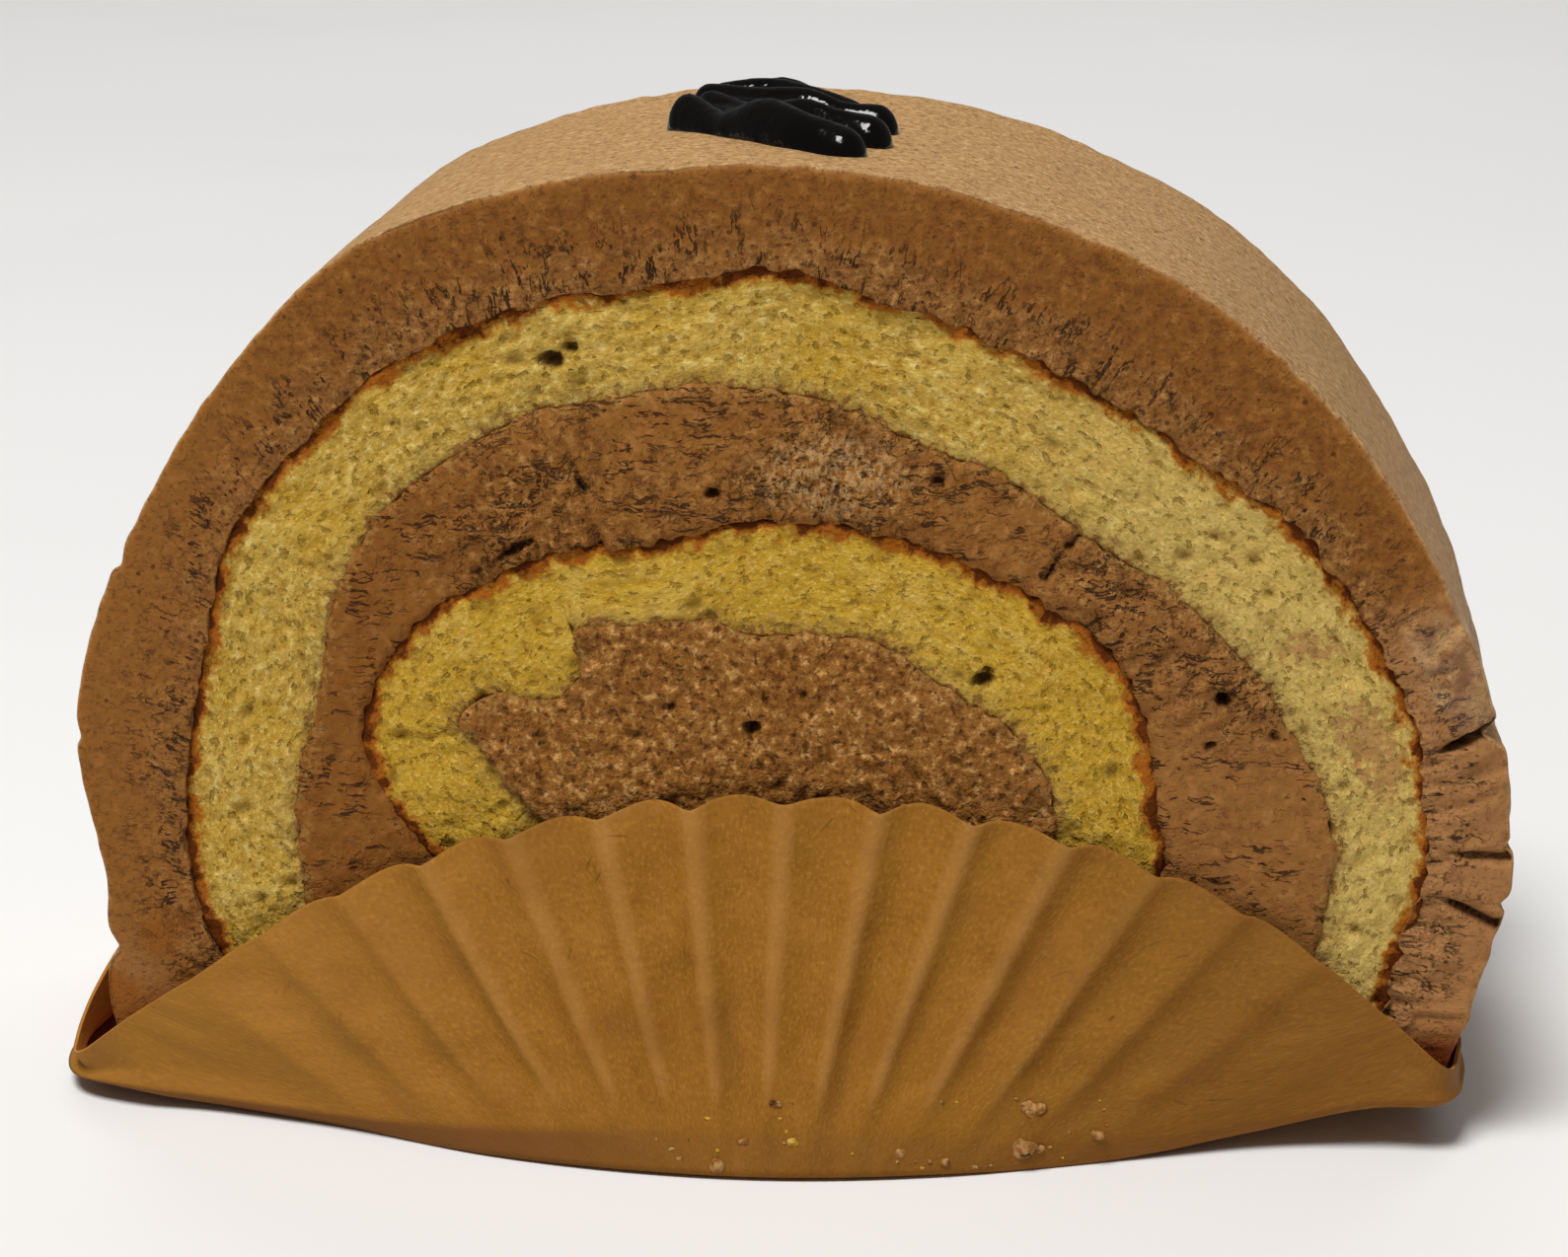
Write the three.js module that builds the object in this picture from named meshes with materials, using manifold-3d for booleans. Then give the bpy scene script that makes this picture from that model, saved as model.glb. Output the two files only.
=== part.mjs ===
// A swiss roll cake: one thick slice coated with chocolate cream, standing in its pleated paper case.
// Millimetres, +Z up. The two cut faces look along -Y and +Y. The origin is on the surface the case
// stands on, under the middle of the whole.

import * as THREE from 'three';
import { mergeVertices } from 'three/addons/utils/BufferGeometryUtils.js';
import Module from 'manifold-3d';

// Driving dimensions

const SLICE_DEPTH = 38;         // between the two cut faces
const GAP = 0.3;                // left between pieces that touch
const CAKE_FLOOR = 0.75;        // underside of the cream, just clear of the paper
const LEFT_LIFT = { height: 1.1, from: -34, to: -50 };   // the paper and the roll curl up off the
const RIGHT_LIFT = { height: 3.6, from: 25, to: 45 };    // table towards both ends
const SPONGE_RECESS = 0.3;      // the cut sponge lies a little behind the cream
const WAVE = 0.28;              // unevenness of the rolled sheet

// The baked sheet, from its inner end to its outer end. Each station is a point on the browned side
// of the sheet and the sheet's thickness there: x, z, thickness.
const SHEET = [
  [8, 12, 6.6], [-4, 11.2, 7.4], [-15, 12.4, 8.2], [-22.3, 16, 8.6], [-27, 21.6, 8.3],
  [-29.6, 28, 7.6], [-28.6, 32.6, 7], [-24.8, 37.3, 7.8], [-20.7, 39.8, 10], [-17.6, 41.1, 9.5],
  [-15.4, 41.8, 6.2], [-10.5, 42.5, 6.1], [-3.9, 44.1, 7.9], [9.1, 43.2, 8.3], [20.1, 37.7, 9.2],
  [24.4, 32.3, 8.7], [26.3, 25.7, 7.7], [26.4, 19, 8.2], [23.4, 11.4, 8.3], [17.4, 5.4, 8.4],
  [8, 1.9, 8.4], [-8, 1, 8.4], [-26, 1.5, 8.2], [-35, 4.8, 8], [-40.4, 10.6, 7.8],
  [-42.6, 19.5, 8.4], [-41.7, 30.5, 9], [-38.4, 42.4, 8.6], [-30.5, 52.3, 7.8], [-20, 58.3, 7.9],
  [-8.5, 60.9, 7.8], [1, 61.6, 8.7], [12.5, 58.2, 8.8], [24.5, 52.1, 9.3], [34.5, 45, 9.2],
  [41.5, 35.9, 8.9], [44.5, 26, 7.4], [43.8, 15.8, 6.4], [42.4, 10, 6.2], [41.6, 4.7, 6.4],
];

// Outside of the cream coat on a cut face, from the left foot over the top to the right foot: x, z.
const COAT_OUTLINE = [
  [-47.4, 1.75], [-48.6, 8], [-48.4, 16.3], [-50, 27.4], [-48.1, 36.6], [-43.9, 45.4],
  [-38.4, 53.8], [-30.4, 61.9], [-22.2, 65.7], [-11.5, 68.2], [0, 68.7], [10.2, 67.5], [20.1, 64.3],
  [29, 59.8], [36.1, 53.8], [41.4, 46.8], [45.6, 39.6], [48.5, 32.5], [50.3, 21.8], [48.6, 12.6],
  [47.2, 8.6], [45.8, 4.6],
];
const COAT_FOOT_INNER = -28.5;     // x where the coat's flat foot ends under the roll
const COAT_CRACKS = [              // dragged open by the knife: share of the outline, depth, width
  { at: 0.858, depth: 1.8, width: 1.2 },
  { at: 0.903, depth: 1.1, width: 1.1 },
  { at: 0.932, depth: 1.3, width: 1.2 },
];
const COAT_NICKS = [               // small dents in the outside: share of the outline, depth, width
  { at: 0.052, depth: 0.9, width: 1.6 },
  { at: 0.135, depth: 0.4, width: 1.4 },
  { at: 0.205, depth: 0.5, width: 1.4 },
  { at: 0.862, depth: 0.8, width: 1.4 },
];

// The paper case, a thin pleated round folded up against both cut faces. Each station round the left,
// front and right is the fold at the bottom and the free edge above it: x, y, then x, y, z.
const PAPER_THICKNESS = 0.35;
const PAPER_CENTRE = [-1.5, 0];
const PLEATS = 46;
const PLEAT_DEPTH = 0.55;           // on the two flaps; the pleats are pulled flat at the ends
const SCALLOP = 0.3;                // how far the free edge dips at each ridge and rises between them
const FAN_MIDDLE = -1.2;            // the pleats fan out from a point below the flap, at this x
const FAN_DROP = 19;                // how far below the table that point lies
const PAPER_FRONT = [
  [-49.6, 0, -50.4, 0, 8.2],
  [-50.8, -8, -51, -9.5, 8.2],
  [-52, -13.2, -52.5, -14, 3.2],
  [-50.4, -17.6, -51, -18.8, 3.4],
  [-45.5, -19.8, -46.6, -20.3, 7],
  [-39.5, -20.3, -41, -20.4, 10.8],
  [-31.5, -22.2, -33.2, -20.4, 15.9],
  [-20, -26.5, -21.8, -20.5, 20.8],
  [-9, -28.6, -9.8, -20.6, 23.9],
  [1, -28.9, 0.8, -20.6, 24.8],
  [12, -27.1, 12.4, -20.6, 24],
  [23, -23.5, 23.6, -20.5, 21.2],
  [33, -20.4, 33.8, -20.4, 16.6],
  [41, -20, 41.6, -20.3, 10.6],
  [46.3, -19.7, 46.3, -20, 6.4],
  [47.7, -14.5, 47.5, -15, 5.8],
  [47.6, -6, 48, -6.5, 6.3],
  [47.6, 0, 48.2, 0, 6.5],
];

// The piped chocolate on top: five overlapping strands from the front to the back.
// Each is where it starts and ends, its half width and its height: x, y, x, y, half width, height.
const CHOCOLATE_STRANDS = [
  [-7.4, -3.2, 3.2, -13.8, 2.2, 2.3],
  [-8, -0.4, 4.6, -9, 2.3, 2.5],
  [-8, 2.8, 4.6, -3, 2.4, 2.6],
  [-7, 6, 2.8, 1.6, 2.4, 2.7],
  [-5, 8.4, 0.4, 5, 2, 2.5],
];
const STRAND_SIDES = 10;
const STRAND_STEPS = 9;

// Fineness of the faceted surfaces

const SHEET_STEPS = 170;
const COAT_STEPS = 78;
const COAT_ACROSS = [0, 0.4, 0.75, 1];
const COAT_DEEP = [0, 0.12, 0.35, 0.65, 0.88, 1];
const SAMPLES_PER_PLEAT = 2;
const FAN_FADE = [40, 47];          // the fan fades out between these distances from its middle
const FLAP_STATIONS = [3, 14];      // the first and last station of the front flap

const COLOURS = {
  coat: 0x8a5a34,
  sponge: 0xb8932f,
  filling: 0x7d5229,
  paper: 0x93641f,
  chocolate: 0x16100c,
};

// Helpers for closed solids

function solidMesh(name, geometry, colour, roughness) {
  const material = new THREE.MeshStandardMaterial({ color: colour, roughness, metalness: 0 });
  const mesh = new THREE.Mesh(geometry, material);
  mesh.name = name;
  return mesh;
}

function signedVolume(points, faces) {
  return faces.reduce((sum, [a, b, c]) => {
    const cross = new THREE.Vector3().crossVectors(points[b], points[c]);
    return sum + points[a].dot(cross) / 6;
  }, 0);
}

// Points and faces become one geometry with the faces pointing out.
function closedGeometry(points, faces) {
  const outward = signedVolume(points, faces) > 0;
  const ordered = faces.map(([a, b, c]) => (outward ? [a, b, c] : [a, c, b]));
  const geometry = new THREE.BufferGeometry();
  geometry.setFromPoints(points);
  geometry.setIndex(ordered.flat());
  const welded = mergeVertices(geometry, 1e-4);
  welded.computeVertexNormals();
  return welded;
}

// A solid bent from a block: at(u, v, w) places a point of the block, and the six outside grids
// of the block, at the stations given along each way, become its skin.
function blockSolid(us, vs, ws, at) {
  const points = [];
  const faces = [];
  const grid = (as, bs, place) => {
    const first = points.length;
    as.forEach((a) => bs.forEach((b) => points.push(place(a, b))));
    for (let i = 0; i < as.length - 1; i += 1) {
      for (let j = 0; j < bs.length - 1; j += 1) {
        const p = first + i * bs.length + j;
        const q = p + bs.length;
        faces.push([p, q, q + 1], [p, q + 1, p + 1]);
      }
    }
  };
  const turned = (list) => [...list].reverse();
  grid(us, vs, (u, v) => at(u, v, 0));
  grid(us, turned(vs), (u, v) => at(u, v, 1));
  grid(us, turned(ws), (u, w) => at(u, 0, w));
  grid(us, ws, (u, w) => at(u, 1, w));
  grid(vs, turned(ws), (v, w) => at(1, v, w));
  grid(vs, ws, (v, w) => at(0, v, w));
  return closedGeometry(points, faces);
}

const steps = (count) => Array.from({ length: count + 1 }, (_, i) => i / count);

const mix = (a, b, t) => a + (b - a) * t;

const smooth = (a, b, x) => THREE.MathUtils.smoothstep(x, a, b);

// How far the paper's base is off the table at a place along the slice.
const lift = (x) => [LEFT_LIFT, RIGHT_LIFT].reduce((sum, { height, from, to }) =>
  sum + height * smooth(0, 1, (x - from) / (to - from)), 0);

const cakeFloor = (x) => CAKE_FLOOR + lift(x);

// A soft bump of the given width round a place on a line of the given length.
function bump(share, { at, depth, width }, length) {
  const away = ((share - at) * length) / (width / 2);
  return depth * Math.exp(-away * away);
}

// The rolled sheet

const sheetCurve = new THREE.CatmullRomCurve3(
  SHEET.map(([x, z, thickness]) => new THREE.Vector3(x, z, thickness)),
);
sheetCurve.arcLengthDivisions = 1500;

// Slow waves that keep the rolled sheet from looking drawn with a compass.
function sheetWave(share, phase) {
  const turn = share * Math.PI * 2;
  return WAVE * (Math.sin(turn * 17 + phase) * 0.6 + Math.sin(turn * 26 + phase * 2.3) * 0.4);
}

const sheet = steps(SHEET_STEPS).map((share) => {
  const here = sheetCurve.getPointAt(share);
  const along = sheetCurve.getTangentAt(share);
  const outward = new THREE.Vector2(-along.y, along.x).normalize();
  const push = sheetWave(share, 0.7);
  return {
    share,
    point: new THREE.Vector2(here.x, here.y).addScaledVector(outward, push),
    outward,
    thickness: here.z + push + sheetWave(share, 3.1),
  };
});

// Places where the sheet comes down to the floor under the roll, and where it leaves it again.
const lands = sheet.findIndex((stop) => stop.point.y < CAKE_FLOOR + 2 * GAP + 0.5);
const leaves = sheet.findIndex((stop, i) => i > lands && stop.point.x < COAT_FOOT_INNER - 1);

const brownedSide = (stop, gap) => stop.point.clone().addScaledVector(stop.outward, gap);

const creamSide = (stop) => stop.point.clone().addScaledVector(stop.outward, -stop.thickness);

// The cream side of the whole sheet, moved off the sponge by a gap along the line's own normals.
function creamLine(gap) {
  const line = sheet.map(creamSide);
  return line.map((point, i) => {
    const along = line[Math.min(i + 1, SHEET_STEPS)].clone().sub(line[Math.max(i - 1, 0)]).normalize();
    return point.clone().add(new THREE.Vector2(along.y, -along.x).multiplyScalar(gap));
  });
}

function spongeRoll() {
  const half = SLICE_DEPTH / 2 - SPONGE_RECESS;
  const place = (u, v, w) => {
    const stop = sheet[Math.round(u * SHEET_STEPS)];
    const flat = brownedSide(stop, 0).lerp(creamSide(stop), v);
    return new THREE.Vector3(flat.x, mix(-half, half, w), flat.y);
  };
  return blockSolid(steps(SHEET_STEPS), [0, 0.5, 1], [0, 1], place);
}

// The cream rolled up inside the sheet: out along its cream side, round its inner end, back along
// its browned side, and closed along the floor.
function creamFilling() {
  const outline = creamLine(GAP).reverse();
  outline.unshift(new THREE.Vector2(outline[0].x, cakeFloor(outline[0].x)));
  const end = sheet[0];
  const ahead = new THREE.Vector2(end.outward.y, -end.outward.x).multiplyScalar(-GAP);
  outline.push(outline[outline.length - 1].clone().add(ahead), brownedSide(end, GAP).add(ahead));
  outline.push(...sheet.slice(0, lands).map((stop) => brownedSide(stop, GAP)));
  const landing = outline[outline.length - 1];
  outline.push(new THREE.Vector2(landing.x + 1, CAKE_FLOOR));
  const geometry = new THREE.ExtrudeGeometry(new THREE.Shape(outline), {
    depth: SLICE_DEPTH,
    bevelEnabled: false,
    steps: 1,
  });
  geometry.rotateX(Math.PI / 2);
  geometry.translate(0, SLICE_DEPTH / 2, 0);
  return geometry;
}

// The cream coat

const flatCurve = (points) => {
  const curve = new THREE.CatmullRomCurve3(points.map((p) => new THREE.Vector3(p.x, 0, p.y)));
  curve.arcLengthDivisions = 1500;
  return curve;
};

const coatOutside = flatCurve(COAT_OUTLINE.map(([x, z]) => new THREE.Vector2(x, z)));

const coatInside = flatCurve([
  new THREE.Vector2(COAT_FOOT_INNER, CAKE_FLOOR),
  ...sheet.slice(leaves).map((stop) => brownedSide(stop, GAP)),
]);

function creamCoat() {
  const length = coatOutside.getLength();
  const cracked = COAT_CRACKS.flatMap(({ at, width }) => [-0.5, 0, 0.5].map((s) => at + (s * width) / length));
  const clearOfCracks = (u) => cracked.every((c) => Math.abs(c - u) > 0.4 / COAT_STEPS);
  const stations = [...steps(COAT_STEPS).filter((u) => u === 1 || clearOfCracks(u)), ...cracked];
  stations.sort((a, b) => a - b);
  const place = (u, v, w) => {
    const inner = coatInside.getPointAt(u);
    const outer = coatOutside.getPointAt(u);
    const point = inner.clone().lerp(outer, v);
    const across = outer.clone().sub(inner).normalize();
    COAT_NICKS.forEach((nick) => point.addScaledVector(across, -v * v * bump(u, nick, length)));
    const edge = smooth(0, 0.4, v);
    const cracks = COAT_CRACKS.reduce((sum, crack) => sum + bump(u, crack, length), 0);
    point.y = mix(-1, 1, w) * (SLICE_DEPTH / 2) + (w < 0.1 ? cracks * edge : 0);
    point.z = Math.max(point.z, cakeFloor(point.x));
    return point;
  };
  return blockSolid(stations, COAT_ACROSS, COAT_DEEP, place);
}

// The pleated paper case

function paperCase() {
  const back = PAPER_FRONT.slice(1, -1).reverse().map(([a, b, x, y, z]) => [a, -b, x, -y, z]);
  const round = [...PAPER_FRONT, ...back];
  const closedCurve = (points) => {
    const curve = new THREE.CatmullRomCurve3(points, true);
    curve.arcLengthDivisions = 1500;
    return curve;
  };
  const fold = closedCurve(round.map(([x, y]) => new THREE.Vector3(x, y, lift(x))));
  const edge = closedCurve(round.map(([, , x, y, z]) => new THREE.Vector3(x, y, z)));
  const count = PLEATS * SAMPLES_PER_PLEAT;
  const centre = new THREE.Vector3(PAPER_CENTRE[0], PAPER_CENTRE[1], 0);

  // A pleat starts nearer the middle of the fold than it ends on the free edge. The ends have no fan.
  const pleatFoot = (t, height) => {
    const front = Math.min(t, 1 - t);
    const x = fold.getPoint(front).x - FAN_MIDDLE;
    const onEnd = smooth(...FAN_FADE, Math.abs(x));
    if (onEnd === 1) return t;
    const target = FAN_MIDDLE + x * (1 - (height / (height + FAN_DROP)) * (1 - onEnd));
    let [low, high] = FLAP_STATIONS.map((station) => station / round.length);
    for (let halving = 0; halving < 40; halving += 1) {
      const half = (low + high) / 2;
      if (fold.getPoint(half).x < target) low = half;
      else high = half;
    }
    return t < 0.5 ? low : 1 - low;
  };

  // Each ring of the mid surface: how far along the base, then how far up the wall.
  const rings = [
    [0.55, 0], [0.74, 0], [0.88, 0], [0.98, 0], [1, 0.05], [1, 0.3], [1, 0.6], [1, 0.85], [1, 1],
  ];
  const middle = rings.map(([reach, up]) =>
    Array.from({ length: count }, (_, k) => {
      const t = edge.getUtoTmapping(k / count);
      const top = edge.getPoint(t);
      const bottom = fold.getPoint(pleatFoot(t, top.z));
      if (up === 0) {
        const point = centre.clone().lerp(bottom, reach);
        point.z = lift(point.x);
        return point;
      }
      const out = new THREE.Vector3(bottom.x - centre.x, bottom.y - centre.y, 0).normalize();
      const pleat = Math.cos((k / SAMPLES_PER_PLEAT) * Math.PI * 2);
      const onFlap = 1 - 0.85 * smooth(38, 46, Math.abs(top.x - centre.x));
      const rise = onFlap * smooth(0, 0.5, up);
      const point = bottom.lerp(top, up).addScaledVector(out, pleat * PLEAT_DEPTH * rise);
      point.z -= pleat * SCALLOP * rise * up;
      return point;
    }),
  );

  // The mid surface is split into an inner and an outer skin, half the thickness either way.
  const skin = (side) => {
    const offset = (PAPER_THICKNESS / 2) * side;
    return middle.map((ring, r) =>
      ring.map((point, k) => {
        if (rings[r][1] === 0 && rings[r][0] < 0.9) return point.clone().setZ(point.z + offset);
        const inner = middle[Math.max(r - 1, 0)][k];
        const outer = middle[Math.min(r + 1, middle.length - 1)][k];
        const before = ring[(k + count - 1) % count];
        const after = ring[(k + 1) % count];
        const radial = outer.clone().sub(inner);
        const around = after.clone().sub(before);
        const normal = radial.cross(around).normalize();
        return point.clone().addScaledVector(normal, offset);
      }),
    );
  };
  const upper = skin(1);
  const lower = skin(-1);
  const points = [];
  const faces = [];
  const addSkin = (skinRings, side) => {
    const hub = points.push(new THREE.Vector3(centre.x, centre.y, (PAPER_THICKNESS / 2) * side)) - 1;
    const starts = skinRings.map((ring) => {
      points.push(...ring);
      return points.length - count;
    });
    const face = (a, b, c) => faces.push(side > 0 ? [a, b, c] : [a, c, b]);
    for (let k = 0; k < count; k += 1) {
      const next = (k + 1) % count;
      face(hub, starts[0] + k, starts[0] + next);
      for (let r = 0; r < starts.length - 1; r += 1) {
        const [near, far] = [starts[r], starts[r + 1]];
        face(near + k, far + k, far + next);
        face(near + k, far + next, near + next);
      }
    }
    return starts[starts.length - 1];
  };
  const upperRim = addSkin(upper, 1);
  const lowerRim = addSkin(lower, -1);
  for (let k = 0; k < count; k += 1) {
    const next = (k + 1) % count;
    faces.push([upperRim + k, lowerRim + k, lowerRim + next], [upperRim + k, lowerRim + next, upperRim + next]);
  }
  return closedGeometry(points, faces).translate(0, 0, PAPER_THICKNESS / 2);
}

// The piped chocolate

const wasm = await Module();
wasm.setup();

function toManifold(geometry) {
  const bare = geometry.clone();
  bare.deleteAttribute('normal');
  bare.deleteAttribute('uv');
  const merged = mergeVertices(bare, 1e-4);
  return new wasm.Manifold(new wasm.Mesh({
    numProp: 3,
    vertProperties: new Float32Array(merged.attributes.position.array),
    triVerts: new Uint32Array(merged.index.array),
  }));
}

function fromManifold(solid) {
  const { vertProperties, triVerts } = solid.getMesh();
  const geometry = new THREE.BufferGeometry();
  geometry.setAttribute('position', new THREE.BufferAttribute(new Float32Array(vertProperties), 3));
  geometry.setIndex([...triVerts]);
  geometry.computeVertexNormals();
  return geometry;
}

const coatTop = (x) => {
  const crown = coatOutside.getSpacedPoints(400).filter((p) => p.z > 60);
  return crown.reduce((best, p) => (Math.abs(p.x - x) < Math.abs(best.x - x) ? p : best)).z;
};

// One strand: a rounded, slightly wavering sausage, widest in the middle of its height.
function strandSolid([x0, y0, x1, y1, halfWidth, height]) {
  const start = new THREE.Vector2(x0, y0);
  const end = new THREE.Vector2(x1, y1);
  const along = end.clone().sub(start).normalize();
  const side = new THREE.Vector2(-along.y, along.x);
  const points = [];
  const faces = [];
  const base = coatTop(0) + height * 0.35;
  const reach = start.distanceTo(end) / 2 + halfWidth;
  const middle = start.clone().add(end).multiplyScalar(0.5);
  const ringCount = STRAND_STEPS - 1;
  const stationAt = (i) => -Math.cos((i / STRAND_STEPS) * Math.PI) * reach;
  for (let i = 1; i <= ringCount; i += 1) {
    const away = stationAt(i);
    const round = Math.sqrt(Math.max(0, 1 - ((Math.abs(away) - reach + halfWidth) / halfWidth) ** 2));
    const swell = Math.abs(away) > reach - halfWidth ? round : 1;
    for (let k = 0; k < STRAND_SIDES; k += 1) {
      const angle = (k / STRAND_SIDES) * Math.PI * 2;
      const offset = Math.cos(angle) * halfWidth * swell + Math.sin(away * 0.8) * 0.5;
      const flat = middle.clone().addScaledVector(along, away).addScaledVector(side, offset);
      points.push(new THREE.Vector3(flat.x, flat.y, base + Math.sin(angle) * height * 0.62 * swell));
    }
  }
  const tip = (i) => {
    const flat = middle.clone().addScaledVector(along, stationAt(i));
    return points.push(new THREE.Vector3(flat.x, flat.y, base)) - 1;
  };
  const firstTip = tip(0);
  const lastTip = tip(STRAND_STEPS);
  const lastRing = (ringCount - 1) * STRAND_SIDES;
  for (let k = 0; k < STRAND_SIDES; k += 1) {
    const next = (k + 1) % STRAND_SIDES;
    faces.push([firstTip, next, k], [lastTip, lastRing + k, lastRing + next]);
    for (let r = 0; r < lastRing; r += STRAND_SIDES) {
      faces.push([r + k, r + next, r + STRAND_SIDES + next], [r + k, r + STRAND_SIDES + next, r + STRAND_SIDES + k]);
    }
  }
  return toManifold(closedGeometry(points, faces));
}

function chocolateTopping() {
  const strands = CHOCOLATE_STRANDS.map(strandSolid);
  const joined = strands.reduce((all, strand) => all.add(strand));
  const room = new THREE.Shape();
  const across = steps(12).map((s) => mix(-16, 16, s));
  across.forEach((x, i) => {
    const z = coatTop(x) + GAP;
    if (i === 0) room.moveTo(x, z);
    else room.lineTo(x, z);
  });
  room.lineTo(16, 90);
  room.lineTo(-16, 90);
  const above = new THREE.ExtrudeGeometry(room, { depth: SLICE_DEPTH, bevelEnabled: false });
  above.rotateX(Math.PI / 2);
  above.translate(0, SLICE_DEPTH / 2, 0);
  return fromManifold(joined.intersect(toManifold(above)));
}

// The whole, with its middle over the origin

const cake = new THREE.Group();
cake.add(
  solidMesh('cream_coat', creamCoat(), COLOURS.coat, 0.6),
  solidMesh('sponge_roll', spongeRoll(), COLOURS.sponge, 0.9),
  solidMesh('cream_filling', creamFilling(), COLOURS.filling, 0.65),
  solidMesh('paper_case', paperCase(), COLOURS.paper, 0.8),
  solidMesh('chocolate_topping', chocolateTopping(), COLOURS.chocolate, 0.1),
);
const bounds = new THREE.Box3().setFromObject(cake);
const middle = bounds.getCenter(new THREE.Vector3());
cake.position.set(-middle.x, -middle.y, -bounds.min.z);

const whole = new THREE.Group();
whole.add(cake);

export default whole;
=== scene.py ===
# %% [markdown]
# A thick slice of swiss roll stands on its side in a pleated paper case. Five things show: a coat of
# chocolate cream, a browned sponge sheet rolled into a spiral, the cream rolled up inside it, a
# zigzag of glossy chocolate on top and the kraft paper round the foot. The plain solids of these five
# are packed already, and they fix every place and size. So the first step loads them as a frame, and
# each later step builds one finely shaped piece exactly where its plain solid is.

# %% Load the frame
import itertools
import math

import bmesh
import bpy
import numpy as np
from mathutils import Matrix, Vector
from mathutils.geometry import delaunay_2d_cdt


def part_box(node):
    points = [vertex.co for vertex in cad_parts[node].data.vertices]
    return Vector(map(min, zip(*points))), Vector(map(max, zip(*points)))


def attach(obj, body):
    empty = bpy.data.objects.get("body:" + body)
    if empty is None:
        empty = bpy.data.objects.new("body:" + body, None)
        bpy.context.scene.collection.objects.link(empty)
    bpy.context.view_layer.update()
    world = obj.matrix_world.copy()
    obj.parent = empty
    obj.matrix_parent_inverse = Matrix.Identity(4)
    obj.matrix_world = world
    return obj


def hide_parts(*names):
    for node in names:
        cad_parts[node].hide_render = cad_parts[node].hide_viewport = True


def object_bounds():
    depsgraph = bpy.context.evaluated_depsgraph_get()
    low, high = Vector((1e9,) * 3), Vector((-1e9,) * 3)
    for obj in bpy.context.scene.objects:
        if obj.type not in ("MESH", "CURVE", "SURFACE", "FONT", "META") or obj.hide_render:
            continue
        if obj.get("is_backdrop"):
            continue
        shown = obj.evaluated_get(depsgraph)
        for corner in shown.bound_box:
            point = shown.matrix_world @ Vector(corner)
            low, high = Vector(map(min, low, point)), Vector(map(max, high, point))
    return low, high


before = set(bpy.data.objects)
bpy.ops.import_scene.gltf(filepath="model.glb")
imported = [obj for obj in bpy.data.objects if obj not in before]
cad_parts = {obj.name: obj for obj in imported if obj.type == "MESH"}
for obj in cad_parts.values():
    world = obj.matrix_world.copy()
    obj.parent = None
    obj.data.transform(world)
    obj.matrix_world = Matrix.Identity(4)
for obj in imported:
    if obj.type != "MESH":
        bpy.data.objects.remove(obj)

MM = 0.001
cad_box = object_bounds()
print("nodes:", sorted(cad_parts))
print("box in mm:", [[round(value / MM, 2) for value in corner] for corner in cad_box])

# %% [markdown]
# Nothing on a real cake is straight. Every outline here is drawn as a smooth line through a few named
# stations, the way a baker would bend a strip of card through pins. A Blender curve object could do
# this too, but the plain solids were drawn with one kind of spline, and the same formula written out
# in numpy follows them to a hundredth of a millimetre. Its knots are spaced by the square root of the
# distance between stations, which keeps it from overshooting at tight bends.

# %% Smooth lines through stations
LINE_STEPS = 6000


def smooth_line(stations, closed=False):
    """A function that gives points of the line through the stations, for shares from 0 to 1."""
    knots = np.array(stations, float)
    if closed:
        knots = np.vstack([knots[-1:], knots, knots[:2]])
    else:
        knots = np.vstack([2 * knots[0] - knots[1], knots, 2 * knots[-1] - knots[-2]])
    spans = len(knots) - 3

    def place(shares):
        walked = np.asarray(shares, float) * spans
        span = np.clip(np.floor(walked).astype(int), 0, spans - 1)
        t = (walked - span)[:, None]
        p0, p1, p2, p3 = (knots[span + step] for step in range(4))
        gaps = [(p0, p1), (p1, p2), (p2, p3)]
        d0, d1, d2 = (np.linalg.norm(b - a, axis=1, keepdims=True) ** 0.5 for a, b in gaps)
        leave = ((p1 - p0) / d0 - (p2 - p0) / (d0 + d1) + (p2 - p1) / d1) * d1
        arrive = ((p2 - p1) / d1 - (p3 - p1) / (d1 + d2) + (p3 - p2) / d2) * d1
        square = (3 * (p2 - p1) - 2 * leave - arrive) * t**2
        cube = (2 * (p1 - p2) + leave + arrive) * t**3
        return p1 + leave * t + square + cube

    return place


def walk(points):
    """How far along a row of points each one lies."""
    return np.concatenate([[0.0], np.cumsum(np.linalg.norm(np.diff(points, axis=0), axis=1))])


def even_shares(place, shares):
    """The line's own shares at equal steps of its length, and its length in mm."""
    t = np.linspace(0, 1, LINE_STEPS + 1)
    walked = walk(place(t))
    return np.interp(np.asarray(shares) * walked[-1], walked, t), walked[-1]


def spread_evenly(points, shares):
    """Points at equal shares of the length of a row of points."""
    walked = walk(points)
    return np.column_stack([np.interp(shares * walked[-1], walked, column) for column in points.T])


def smooth_step(low, high, value):
    """0 before low, 1 after high and a soft rise between. It falls where low is the greater one."""
    t = np.clip((np.asarray(value, float) - low) / (high - low), 0, 1)
    return t * t * (3 - 2 * t)


def bell(away, reach):
    """1 at no distance, falling softly to nothing within a few times the reach."""
    return np.exp(-((away / reach) ** 2))


def sideways(points):
    """Unit vectors square to a flat line, to the left of its run."""
    along = np.gradient(points, axis=0)
    along /= np.linalg.norm(along, axis=1, keepdims=True)
    return np.stack([-along[:, 1], along[:, 0]], axis=1)


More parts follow.
